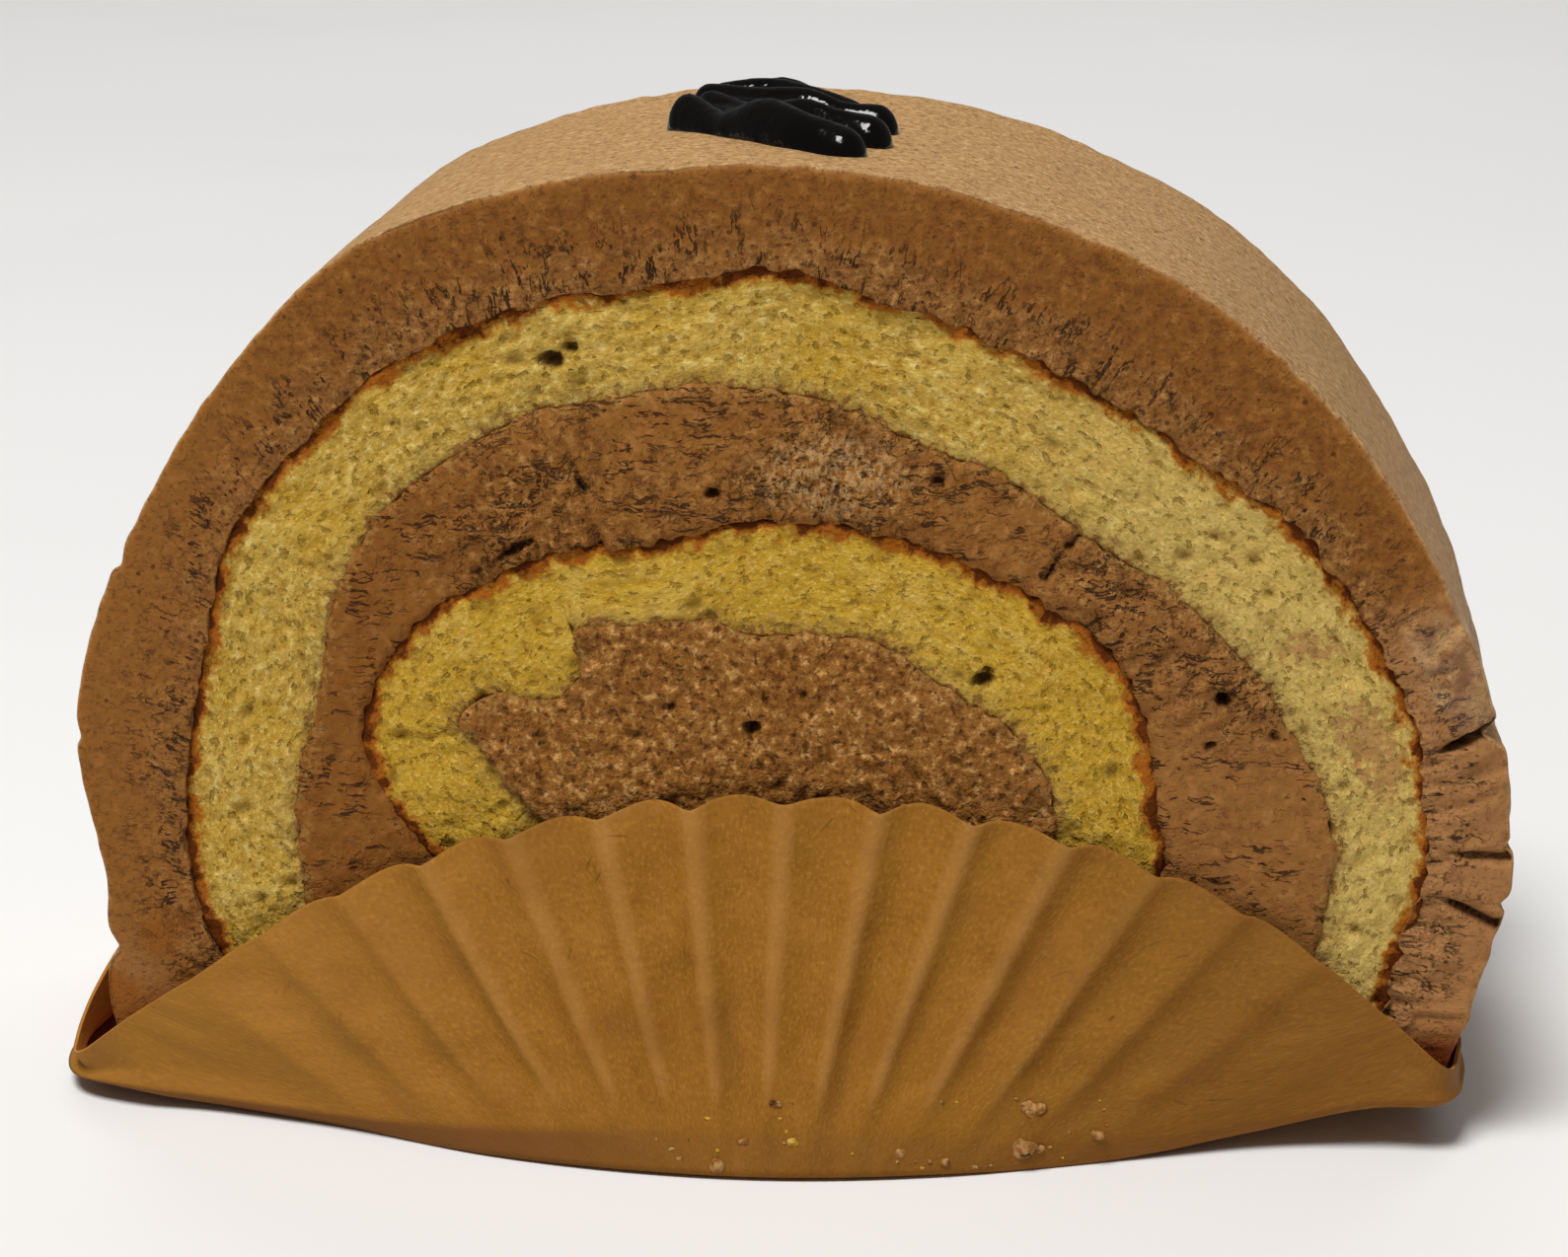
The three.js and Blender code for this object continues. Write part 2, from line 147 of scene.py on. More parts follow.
# %% [markdown]
# Crumb, torn cream and crumpled paper are uneven in a way that has a size: crumb has pores of about
# a millimetre, torn cream has lumps of two. Two kinds of repeatable unevenness do all of it. Lumps
# are random heights on a lattice, blended between its corners. Pores are round hollows, one at a
# random spot in some of the lattice's cells. Both come from a hash of the cell's numbers and a seed,
# so each run makes the same cake. They move real vertices, so the relief is in the mesh as well.

# %% Lumps and pores
HASH_PRIMES = np.array([73856093, 19349663, 83492791])
SEED_PRIME = 2654435761
MIXING_PRIME = 73244475
HASH_BITS = (1 << 31) - 1
THROW_BITS = 0xFFFF


def dice(cells, seed):
    """A repeatable throw from 0 to 1 for each lattice cell."""
    mixed = (cells * HASH_PRIMES).sum(axis=1) + (seed + 1) * SEED_PRIME
    for shift in (13, 9, 15):
        mixed = mixed & HASH_BITS
        mixed = ((mixed >> shift) ^ mixed) * MIXING_PRIME
    return ((mixed >> 7) & THROW_BITS) / THROW_BITS


def lumps(places, size, seed):
    """Smooth unevenness from -1 to 1, with lumps of the given size in mm."""
    cell = places / size
    base = np.floor(cell).astype(np.int64)
    t = cell - base
    t = t * t * (3 - 2 * t)
    total = np.zeros(len(places))
    for corner in itertools.product((0, 1), repeat=3):
        weight = np.prod(np.where(corner, t, 1 - t), axis=1)
        total += weight * dice(base + np.array(corner), seed)
    return total * 2 - 1


def layered(places, *layers):
    """Lumps of several sizes added up. A layer is its height in mm, its lump size and its seed."""
    return sum(height * lumps(places, size, seed) for height, size, seed in layers)


def pores(places, size, seed, share, radius):
    """How deep each place lies in a round pore, 0 to 1. A share of the cells of that size has one."""
    base = np.floor(places / size).astype(np.int64)
    deepest = np.zeros(len(places))
    for step in itertools.product((-1, 0, 1), repeat=3):
        cells = base + np.array(step)
        spot = np.stack([dice(cells, seed + way) for way in (1, 2, 3)], axis=1)
        reach = size * radius * (0.5 + dice(cells, seed + 4))
        away = np.linalg.norm(places - (cells + spot) * size, axis=1) / reach
        there = dice(cells, seed + 5) < share
        deepest = np.maximum(deepest, np.where(there, np.clip(1 - away**2, 0, 1), 0))
    return deepest


probe = np.random.default_rng(5).uniform(0, 40, (4000, 3))
print("lumps spread:", round(float(lumps(probe, 2.0, 1).std()), 2))
print("share of a surface in pores:", round(float((pores(probe, 1.2, 1, 0.5, 0.4) > 0).mean()), 2))

# %% [markdown]
# Each edible piece is a closed block bent into shape: a strip of sponge, a shell of cream. A block's
# skin is a lattice with its inside left out, so neighbouring sides share their edge points and the
# mesh is closed with no merging. A piece also carries readings on its points, such as how far a
# point is from the browned crust, and its material looks those up by name.

# %% Blocks and pieces
def block_skin(us, vs, ws):
    """The skin points of a block as three columns of steps, and the quads that join them."""
    inner = np.zeros((len(us), len(vs), len(ws)), bool)
    inner[1:-1, 1:-1, 1:-1] = True
    ids = np.full(inner.shape, -1)
    ids[~inner] = np.arange((~inner).sum())
    quads = []
    for layer, turned in (
        (ids[:, :, 0], False), (ids[:, :, -1], True),
        (ids[:, 0, :], True), (ids[:, -1, :], False),
        (ids[0, :, :], False), (ids[-1, :, :], True),
    ):
        corners = [layer[:-1, :-1], layer[1:, :-1], layer[1:, 1:], layer[:-1, 1:]]
        if turned:
            corners.reverse()
        quads.append(np.stack(corners, axis=-1).reshape(-1, 4))
    return np.argwhere(~inner), np.concatenate(quads).tolist()


def signed_volume(points, faces):
    """The volume inside the faces in cubic mm, below 0 if they point inwards."""
    fans = np.array([(face[0], face[k], face[k + 1]) for face in faces for k in range(1, len(face) - 1)])
    a, b, c = (points[fans[:, k]] for k in range(3))
    return float(np.einsum("ij,ij->i", a, np.cross(b, c)).sum()) / 6


def new_piece(name, points, faces, readings=None):
    """A smooth mesh from points in mm, with its readings as attributes on the points."""
    if signed_volume(points, faces) < 0:
        faces = [face[::-1] for face in faces]
    mesh = bpy.data.meshes.new(name)
    mesh.from_pydata((points * MM).tolist(), [], faces)
    for reading, values in (readings or {}).items():
        kind, field = ("FLOAT_VECTOR", "vector") if values.ndim == 2 else ("FLOAT", "value")
        attribute = mesh.attributes.new(reading, kind, "POINT")
        attribute.data.foreach_set(field, values.astype(np.float32).ravel())
    mesh.shade_smooth()
    mesh.update()
    piece = bpy.data.objects.new(name, mesh)
    bpy.context.scene.collection.objects.link(piece)
    print(name, "has", len(points), "points and", len(faces), "faces")
    return piece


# %% [markdown]
# The sponge is one baked sheet, browned on one side and rolled up with that side outwards. Its
# stations follow the browned side from the inner end, round the small inner turn, and along the big
# outer turn to the outer end at the right foot. Each station has the sheet's thickness as well,
# because rolling squeezes the sheet here and stretches it there. Two slow waves of different length
# keep the turns from looking drawn with a compass.

# %% The rolled sheet's two sides
SLICE_DEPTH = 38.0
HALF_DEPTH = SLICE_DEPTH / 2
CAKE_FLOOR = 0.75
WAVE = 0.28
SHEET = [
    (8, 12, 6.6), (-4, 11.2, 7.4), (-15, 12.4, 8.2), (-22.3, 16, 8.6), (-27, 21.6, 8.3),
    (-29.6, 28, 7.6), (-28.6, 32.6, 7), (-24.8, 37.3, 7.8), (-20.7, 39.8, 10), (-17.6, 41.1, 9.5),
    (-15.4, 41.8, 6.2), (-10.5, 42.5, 6.1), (-3.9, 44.1, 7.9), (9.1, 43.2, 8.3), (20.1, 37.7, 9.2),
    (24.4, 32.3, 8.7), (26.3, 25.7, 7.7), (26.4, 19, 8.2), (23.4, 11.4, 8.3), (17.4, 5.4, 8.4),
    (8, 1.9, 8.4), (-8, 1, 8.4), (-26, 1.5, 8.2), (-35, 4.8, 8), (-40.4, 10.6, 7.8),
    (-42.6, 19.5, 8.4), (-41.7, 30.5, 9), (-38.4, 42.4, 8.6), (-30.5, 52.3, 7.8), (-20, 58.3, 7.9),
    (-8.5, 60.9, 7.8), (1, 61.6, 8.7), (12.5, 58.2, 8.8), (24.5, 52.1, 9.3), (34.5, 45, 9.2),
    (41.5, 35.9, 8.9), (44.5, 26, 7.4), (43.8, 15.8, 6.4), (42.4, 10, 6.2), (41.6, 4.7, 6.4),
]
SHEET_STOPS = 1240


def sheet_wave(share, phase):
    turn = share * 2 * math.pi
    return WAVE * (np.sin(turn * 17 + phase) * 0.6 + np.sin(turn * 26 + phase * 2.3) * 0.4)


sheet_share = np.linspace(0, 1, SHEET_STOPS + 1)
place_on_sheet = smooth_line(SHEET)
stops = place_on_sheet(even_shares(place_on_sheet, sheet_share)[0])
outward = sideways(stops[:, :2])
push = sheet_wave(sheet_share, 0.7)
browned = stops[:, :2] + outward * push[:, None]
thickness = stops[:, 2] + push + sheet_wave(sheet_share, 3.1)
creamed = browned - outward * thickness[:, None]
sheet_walk = walk(browned)

sheet_sides = np.vstack([browned, creamed])
sponge_box = np.array([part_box("sponge_roll")[0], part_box("sponge_roll")[1]]) / MM
shift_x = sponge_box[:, 0].mean() - (sheet_sides[:, 0].max() + sheet_sides[:, 0].min()) / 2
CAKE_SHIFT = np.array([shift_x, 0.0, 0.0])
print("sheet length", round(sheet_walk[-1], 1), "mm, drawing moved by", round(shift_x, 3), "mm to its solid")

# %% [markdown]
# A cut through sponge shows pores. Most are half a millimetre wide and a few are real holes, and
# rolling has drawn them out along the sheet. So the crumb is worked out in the sheet's own measure:
# distance along it, distance across it, and which cut face it is. Hollows go into the cut, and how
# deep each point lies is kept as a reading, because the material paints deep places darker and
# yellower: painted shade, and painted light that comes out yellower from a pore. How raised each
# point is is kept too, and painted paler as a painted highlight. The crumb is looser at the outer
# end, on the right, and cream is smeared over it there in patches.

# %% Build the sponge
SPONGE_RECESS = 0.3
SPONGE_ACROSS = 26
SPONGE_DEEP = [0, 0.01, 0.99, 1]
SPONGE_HOLES = [
    (-15.7, 55.2, 0.85, 1.3), (-14.5, 56.0, 0.6, 1.0), (13.7, 33.4, 0.75, 1.5), (14.1, 34.1, 0.4, 0.9),
]
CREAM_SMEARS = [(39.6, 30.4, 2.4, 2.2), (41.3, 27.2, 1.6, 2.0), (35.6, 36.2, 2.2, 1.2)]
LOOSE_FROM = (0.8, 0.86)
MOST_RAISED = 0.12
BACK_FACE_PLACE = 80.0


def named_holes(flat, holes, on_front):
    """How deep each flat place lies in the holes given as x, z, radius, depth, in mm."""
    depth = np.zeros(len(flat))
    for x, z, radius, deep in holes:
        away = np.linalg.norm((flat - [x, z]) * [0.75, 1.15], axis=1) / radius
        ragged = away + 0.25 * lumps(np.column_stack([flat, flat[:, 0] * 0]), 0.6, 3)
        depth = np.maximum(depth, deep * (1 - smooth_step(0.35, 1, ragged)))
    return np.where(on_front, depth, 0)


def build_sponge():
    across = np.linspace(0, 1, SPONGE_ACROSS + 1)
    deep = np.array(SPONGE_DEEP)
    steps, quads = block_skin(sheet_share, across, deep)
    i, v, w = steps[:, 0], across[steps[:, 1]], deep[steps[:, 2]]
    flat = browned[i] - outward[i] * (thickness[i] * v)[:, None]
    from_crust = thickness[i] * v
    from_cream = thickness[i] * (1 - v)
    on_front = w < 0.5
    rolled = np.column_stack([sheet_walk[i], from_crust, np.where(on_front, 0, BACK_FACE_PLACE)])
    drawn_out = rolled * [0.7, 1.05, 1]
    small = pores(drawn_out, 0.95, 11, 0.4, 0.42)
    middling = pores(drawn_out, 2.1, 31, 0.5, 0.22)
    loose = smooth_step(*LOOSE_FROM, sheet_share[i]) * pores(drawn_out, 1.7, 33, 0.3, 0.3)
    flakes = 0.15 * lumps(rolled * [0.6, 1.2, 1], 0.7, 6)
    uneven = flakes + 0.1 * lumps(rolled * [0.7, 1, 1], 1.5, 7) + 0.16 * lumps(rolled, 3.6, 8)
    holes = named_holes(flat, SPONGE_HOLES, on_front)
    rim = bell(np.minimum(from_crust, from_cream), 0.3)
    smear = sum(
        bell((flat[:, 0] - x) / wide, 1) * bell((flat[:, 1] - z) / high, 1)
        for x, z, wide, high in CREAM_SMEARS
    )
    depth = 0.12 * small + 0.42 * middling + 0.45 * loose + uneven + holes + 0.12 * rim
    on_cut = (w == 0) | (w == 1)
    y = (w * 2 - 1) * (HALF_DEPTH - SPONGE_RECESS)
    y = y - np.sign(y) * np.where(on_cut, np.maximum(depth, -MOST_RAISED), 0)
    readings = {
        "rolled": rolled,
        "crust": from_crust,
        "cream_edge": from_cream,
        # hollow is how deep a point lies in a pore, which the material paints darker as painted shade.
        "hollow": np.clip(0.2 * small + 0.75 * middling + 0.7 * loose + 0.5 * np.maximum(flakes, 0), 0, 1),
        "hole": np.clip(holes, 0, 1),
        # raised marks crumb that stands out, which the material paints paler as a painted highlight.
        "raised": np.clip(-3 * uneven - 0.1, 0, 1) * on_cut,
        "smear": np.where(on_front, smear, 0),
    }
    points = np.column_stack([flat[:, 0], y, flat[:, 1]]) + CAKE_SHIFT
    return new_piece("sponge_spiral", points, quads, readings)


sponge = build_sponge()

# %% [markdown]
# The coat is the cream spread over the outside of the roll with a palette knife. Its outside line is
# smooth over the top and dented near the feet, and its inside line is the browned crust, so the
# coat is a strip between two lines, run through the depth of the slice. Cutting tore it: cracks
# gape at the right, the cream near the crust is broken, and above the right foot the knife smeared
# it wet. Points lie close together near the two cut faces, where all of this happens.

# %% The coat's two lines
LEFT_LIFT = (1.1, -34, -50)
RIGHT_LIFT = (3.6, 25, 45)
LANDING_HEIGHT = 1.1
COAT_FOOT_INNER = -28.5
CREAM_OVERLAP = 0.05
COAT_OUTLINE = [
    (-47.4, 1.75), (-48.6, 8), (-48.4, 16.3), (-50, 27.4), (-48.1, 36.6), (-43.9, 45.4),
    (-38.4, 53.8), (-30.4, 61.9), (-22.2, 65.7), (-11.5, 68.2), (0, 68.7), (10.2, 67.5), (20.1, 64.3),
    (29, 59.8), (36.1, 53.8), (41.4, 46.8), (45.6, 39.6), (48.5, 32.5), (50.3, 21.8), (48.6, 12.6),
    (47.2, 8.6), (45.8, 4.6),
]
COAT_STOPS = 640


def lift(x):
    """How far the paper's base is off the table at x: both ends curl up."""
    ends = (LEFT_LIFT, RIGHT_LIFT)
    return sum(height * smooth_step(0, 1, (x - start) / (end - start)) for height, start, end in ends)


lands = int(np.argmax(browned[:, 1] < CAKE_FLOOR + LANDING_HEIGHT))
leaves = lands + int(np.argmax(browned[lands:, 0] < COAT_FOOT_INNER - 1))
coat_share = np.linspace(0, 1, COAT_STOPS + 1)
coat_inner_line = np.vstack([[COAT_FOOT_INNER, CAKE_FLOOR], (browned - outward * CREAM_OVERLAP)[leaves:]])
coat_inside = spread_evenly(coat_inner_line, coat_share)
place_outside = smooth_line(COAT_OUTLINE)
coat_outside = place_outside(even_shares(place_outside, coat_share)[0])
coat_length = walk(coat_outside)[-1]
print("coat outline", round(coat_length, 1), "mm round, sheet lands at stop", lands, "and leaves at", leaves)

# %% [markdown]
# Cream tears square to the crust that it sticks to. To draw a tear the right way round, each place in
# the cream has to know how far along the sheet it lies and how far off it. Both come from the nearest
# point of the sheet, with the far side of the sheet ruled out.

# %% Each place's distance along the sheet and off it
PLACES_AT_ONCE = 4000
STILL_ON_SIDE = -0.4
RULED_OUT = 1000


def along_line(flat, line, outward_ways, side, every):
    """Each place's distance along a line, and its distance from it, if it lies on that side of it."""
    walked = walk(line)[::every]
    line, out_way = line[::every], outward_ways[::every]
    forward = np.column_stack([out_way[:, 1], -out_way[:, 0]])
    along = np.zeros(len(flat))
    away = np.zeros(len(flat))
    for first in range(0, len(flat), PLACES_AT_ONCE):
        batch = slice(first, first + PLACES_AT_ONCE)
        gap = flat[batch, None, :] - line[None]
        distance = np.linalg.norm(gap, axis=2)
        behind = np.einsum("ijk,jk->ij", gap, out_way) * side < STILL_ON_SIDE
        nearest = np.argmin(distance + behind * RULED_OUT, axis=1)
        rows = np.arange(len(nearest))
        along[batch] = walked[nearest] + np.einsum("ij,ij->i", gap[rows, nearest], forward[nearest])
        away[batch] = distance[rows, nearest]
    return along, away


# %% [markdown]
# The coat's relief is built up from what happened to it. Cream near the crust is torn, in lumps of one
# and two millimetres. The knife dragged folds into the right flank, and the wet patch above them is
# crumpled like foil. Three cracks gape there, each with a raised lip. The outer skin is nearly smooth,
# with a nick wherever a crack reaches it, and its two rims are rounded.

# %% Build the coat
COAT_ACROSS_STEPS = [0, 0.02, 0.05, 0.09]
COAT_ACROSS_STEPS += [step / 100 for step in range(13, 93, 5)]
COAT_ACROSS_STEPS += [0.92, 0.955, 0.98, 1]
COAT_DEEP_STEPS = [0, 0.12, 0.3, 0.55, 0.9, 1.4, 2.1, 3, 4.2, 5.8, 7.8, 10.2, 13, 16, 19]
COAT_CRACKS = [(0.858, 1.7, 0.8, -0.18), (0.903, 0.8, 0.7, 0.25), (0.925, 1.1, 0.8, 0.6)]
COAT_NICKS = [(0.052, 0.9, 1.6), (0.135, 0.4, 1.4), (0.205, 0.5, 1.4), (0.862, 0.8, 1.4)]
BACK_CRACK = (0.21, 2.2, 1.4)
LIP_AWAY, LIP_HEIGHT, LIP_WIDTH = 1.1, 0.45, 1.5
COAT_MOST_RAISED = 0.18


def groove(share, at, depth, width, wander=0.0):
    """A soft groove across the coat, at a share of its length, with its depth and width in mm."""
    return depth * bell((share - at) * coat_length + wander, width / 2)


def coat_cracks(u, from_crust, wander, on_front):
    """How deep each place lies in the gaping cracks. Their lips stand up, which is below 0."""
    cracks = np.zeros(len(u))
    for at, depth, width, slope in COAT_CRACKS:
        swing = wander - slope * (from_crust - 3)
        gape = groove(u, at, depth, width * smooth_step(-2, 5, from_crust), swing)
        lip = groove(u, at + LIP_AWAY / coat_length, LIP_HEIGHT, LIP_WIDTH, swing)
        cracks += (gape - lip) * smooth_step(0.2, 2.6, from_crust)
    back = 0.45 * groove(u, *BACK_CRACK, wander) * smooth_step(1, 4, from_crust)
    return np.where(on_front, cracks, back)


def coat_skin(u, w, from_cut, smeared, flat):
    """How far the coat's outer skin stands out from its smooth line."""
    skin_place = np.column_stack([flat[:, 0], flat[:, 1], w * SLICE_DEPTH])
    skin = layered(skin_place, (0.07, 2.2, 21), (0.13, 8, 22))
    skin += 0.12 * lumps(skin_place, 1.2, 23) * bell(from_cut, 0.9)
    skin -= 0.16 * bell(from_cut, 0.16)
    skin += 0.35 * smeared * lumps(skin_place, 3, 24)
    drift = 0.7 * lumps(np.column_stack([w * SLICE_DEPTH, u * 9, u * 0]), 6, 27)
    shallow = 1 - 0.6 * smooth_step(2, 9, from_cut)
    for nick in COAT_NICKS:
        skin -= groove(u, *nick, drift) * shallow
    return skin - 0.5 * sum(groove(u, *crack[:3]) for crack in COAT_CRACKS) * bell(from_cut, 3.5)


def build_coat():
    across = np.array(COAT_ACROSS_STEPS)
    near = np.array(COAT_DEEP_STEPS) / SLICE_DEPTH
    deep = np.concatenate([near, (1 - near[:-1])[::-1]])
    steps, quads = block_skin(coat_share, across, deep)
    i, v, w = steps[:, 0], across[steps[:, 1]], deep[steps[:, 2]]
    u = coat_share[i]
    strip_way = coat_outside - coat_inside
    drawing = coat_inside[:, None] + strip_way[:, None] * across[:, None]
    along, away = along_line(drawing.reshape(-1, 2), browned[leaves:], outward[leaves:], 1, 1)
    drawn = i * len(across) + steps[:, 1]
    from_crust = away[drawn]
    strip = np.linalg.norm(strip_way[i], axis=1)
    way_out = strip_way[i] / strip[:, None]
    flat = drawing.reshape(-1, 2)[drawn]
    from_outside = strip * (1 - v)
    from_cut = np.minimum(w, 1 - w) * SLICE_DEPTH
    on_front = w < 0.5
    on_cut = (w == 0) | (w == 1)
    rolled = np.column_stack([along[drawn], from_crust, np.where(on_front, 0, BACK_FACE_PLACE) + from_cut])

    torn = bell(from_crust - 0.8, 2.2)
    smeared = smooth_step(0.79, 0.83, u) * (1 - smooth_step(0.965, 0.99, u))
    smeared = smeared + 0.6 * smooth_step(0.08, 0.03, u)
    wet = smooth_step(0.80, 0.825, u) * (1 - smooth_step(0.852, 0.86, u))
    wet *= smooth_step(0.8, 2.4, from_crust + lumps(rolled, 2, 4))
    turned = rolled[:, [1, 0, 2]]
    fold = lumps(rolled * [1, 0.45, 1], 2.6, 15)
    creases = np.abs(lumps(rolled * [1, 0.6, 1] + turned * [0.4, 0, 0], 3.1, 13))
    crumpled = 0.3 - creases - 0.45 * np.abs(lumps(rolled, 1.2, 12))
    dragged = lumps(rolled * [1.7, 0.3, 1] + turned * [0.5, 0, 0], 1.0, 14)
    relief = 0.19 * lumps(rolled, 0.8, 16) * (0.05 + torn) + 0.18 * lumps(rolled, 1.9, 17) * (0.12 + torn)
    relief += 0.08 * lumps(rolled, 7, 18) + 0.3 * fold * smeared
    relief += 1.3 * crumpled * wet + 0.3 * dragged * smeared * smooth_step(0.856, 0.864, u)
    cracks = coat_cracks(u, from_crust, 0.5 * lumps(rolled * [0.02, 0.6, 1], 1.4, 19), on_front)
    sunk = relief + cracks + 0.14 * bell(from_outside, 0.22)
    y = (w * 2 - 1) * HALF_DEPTH
    y = y - np.sign(y) * np.where(on_cut, np.maximum(sunk, -COAT_MOST_RAISED), 0)

    skin = coat_skin(u, w, from_cut, smeared, flat)
    ragged = -0.34 + layered(rolled, (0.26, 0.6, 25), (0.36, 1.7, 26))
    edge_in = ragged * (1 - smooth_step(0, 0.25, v)) * bell(from_cut, 1.5)
    flat = flat + way_out * (v**3 * skin + edge_in)[:, None]
    flat[:, 1] = np.maximum(flat[:, 1], CAKE_FLOOR + lift(flat[:, 0]))
    readings = {
        "rolled": rolled,
        "crust": from_crust,
        "cut": np.where(on_cut, 1 - bell(from_outside, 0.12), np.where(v > 0.99, 0, 0.5)),
        "wet": np.where(on_front, wet, 0) * np.where(on_cut, 1, np.exp(-from_cut / 1.5)),
        # hollow marks the gaping cracks, which the material paints dark as painted shade.
        "hollow": np.clip(cracks, 0, 1) * on_cut,
        # lip marks the cut's rim, which the material paints paler as a painted highlight.
        "lip": bell(from_outside, 0.5) * on_cut,
        # fold marks the creases of the crumpled wet folds, painted darker as painted shade.
        "fold": np.clip(wet * (0.35 - crumpled), 0, 1) * on_front * on_cut,
        "smeared": smeared * on_front * np.exp(-from_cut / 2),
        # The patch low at the right foot is partly syrup and partly painted shade of the pocket there.
        "syrup_and_pocket_shade": on_front * smooth_step(42, 44.5, flat[:, 0]) * smooth_step(9.2, 7.2, flat[:, 1]),
    }
    points = np.column_stack([flat[:, 0], y, flat[:, 1]]) + CAKE_SHIFT
    return new_piece("cream_shell", points, quads, readings)


coat = build_coat()

# %% [markdown]
# The cream inside the roll has no simple strip shape: it starts at the floor, winds in between the
# turns of sponge and ends as the soft core. So its face is drawn as one outline and filled with
# triangles between scattered points, which Blender's own flat triangulation does in a moment. The
# second cut face is the same drawing, and a narrow wall joins the two rims.

# %% The filling's outline
FILLING_STEP = 0.34
EDGE_STEP = 0.3


def filling_outline():
    """Out along the cream side, round the inner end, back along the browned side, and along the floor."""
    inner_edge = creamed[::-1]
    end = browned[0] + outward[0] * CREAM_OVERLAP
    start = np.array([[inner_edge[0, 0], CAKE_FLOOR + lift(inner_edge[0, 0])]])
    landing = [browned[lands - 1, 0] + 1, CAKE_FLOOR]
    closed = np.vstack([start, inner_edge, [end], browned[:lands], [landing], start])
    count = int(walk(closed)[-1] / EDGE_STEP)
    return spread_evenly(closed, np.arange(count) / count)


rim = filling_outline()
print("filling outline", len(rim), "points,", round(walk(rim)[-1], 1), "mm round")

# %% [markdown]
# A grid of points, each shifted a little at random, gives triangles of about one size in no rows that
# the eye could find. Points that would crowd the rim are left out. The rim's own edges are those that
# only one triangle has. There the cream is frayed outwards by a fraction of a millimetre, because it
# sticks to the sponge and tears unevenly, and there the wall between the two faces is put up.

# %% Fill the outline with triangles
def fill_outline():
    """Flat points within the rim, the triangles between them, and the rim's own edges."""
    random = np.random.default_rng(17)
    low, high = rim.min(axis=0), rim.max(axis=0)
    columns = np.arange(low[0], high[0], FILLING_STEP)
    rows = np.arange(low[1], high[1], FILLING_STEP * 0.87)
    grid = np.stack(np.meshgrid(columns, rows), axis=-1)
    grid[1::2, :, 0] += FILLING_STEP / 2
    scattered = grid.reshape(-1, 2)
    scattered = scattered + random.uniform(-0.25, 0.25, scattered.shape) * FILLING_STEP
    batches = np.array_split(scattered, 40)
    crowding = [np.linalg.norm(part[:, None] - rim[None], axis=2).min(axis=1) for part in batches]
    scattered = scattered[np.concatenate(crowding) > FILLING_STEP * 0.55]
    drawn = [Vector(point) for point in np.vstack([rim, scattered])]
    made, _, triangles, _, _, _ = delaunay_2d_cdt(drawn, [], [list(range(len(rim)))], 1, 1e-6)
    flat = np.array([tuple(point) for point in made])
    triangles = np.array([face for face in triangles if len(face) == 3])
    used, renumbered = np.unique(triangles, return_inverse=True)
    flat, triangles = flat[used], renumbered.reshape(-1, 3)
    edges = np.concatenate([triangles[:, [0, 1]], triangles[:, [1, 2]], triangles[:, [2, 0]]])
    found, times = np.unique(np.sort(edges, axis=1), axis=0, return_counts=True)
    return flat, triangles, found[times == 1]


def fray_the_rim(flat, on_rim):
    """Cream torn out over its neighbours here and there, by a fraction of a millimetre."""
    outwards = -sideways(np.vstack([rim[-1:], rim, rim[:1]]))[1:-1]
    edge = flat[on_rim]
    nearest = np.argmin(np.linalg.norm(edge[:, None] - rim[None], axis=2), axis=1)
    torn = 0.2 + layered(np.column_stack([edge, np.zeros(len(edge))]), (0.24, 0.7, 51), (0.2, 1.9, 52))
    shown = flat.copy()
    shown[on_rim] += outwards[nearest] * (torn * smooth_step(2, 4, edge[:, 1]))[:, None]
    return shown


def border_walls(triangles, border, count):
    """Quads that join the rim of the front triangles to the same rim of the back ones."""
    runs = {(tri[k - 1], tri[k]) for tri in triangles.tolist() for k in range(3)}
    ordered = [(a, b) if (a, b) in runs else (b, a) for a, b in border.tolist()]
    return [[a, b, b + count, a + count] for a, b in ordered]


# %% [markdown]
# The filling's relief follows how it broke. Most of the face is calm, four patches are torn in lumps,
# and the core is grainy like wet sand. The holes and splits that catch the eye are placed one by one,
# with ragged edges. The back face is made the same way, with torn patches of its own.

# %% Build the filling
FILLING_HOLES = [
    (-7.8, 30.8, 0.35, 0.8), (-2.1, 29.5, 0.62, 1.3), (1.3, 32.0, 0.35, 0.8), (-4.9, 46.2, 0.5, 1.1),
    (10.5, 47.4, 0.45, 0.9), (30.2, 32.4, 0.55, 1.3), (33.8, 29.9, 0.42, 1.1), (29.4, 29.1, 0.45, 1.1),
]
FILLING_SPLITS = [
    [(17.3, 39.8), (18.6, 41.9), (20.2, 43.7)],
    [(-14.4, 48.0), (-13.1, 43.9), (-12.2, 41.6)],
    [(-21.4, 40.2), (-17.2, 42.6)],
]
SPLIT_DEPTH, SPLIT_REACH = 0.9, 0.2
ROUGH_PATCHES = [(-17, 43.5, 8), (4, 47.5, 8), (23, 39, 6.5), (31.5, 33.5, 4)]
CORE_ENDS = 0.27
CRUMB_PATCH = (3.4, 47.6)
CRUMB_PATCH_REACH = (6.5, 3.4)


def near_split(flat, split):
    """Distance in mm from the nearest point of a split drawn through a few points."""
    line = spread_evenly(np.array(split, float), np.linspace(0, 1, 24))
    return np.linalg.norm(flat[:, None, :] - line[None], axis=2).min(axis=1)


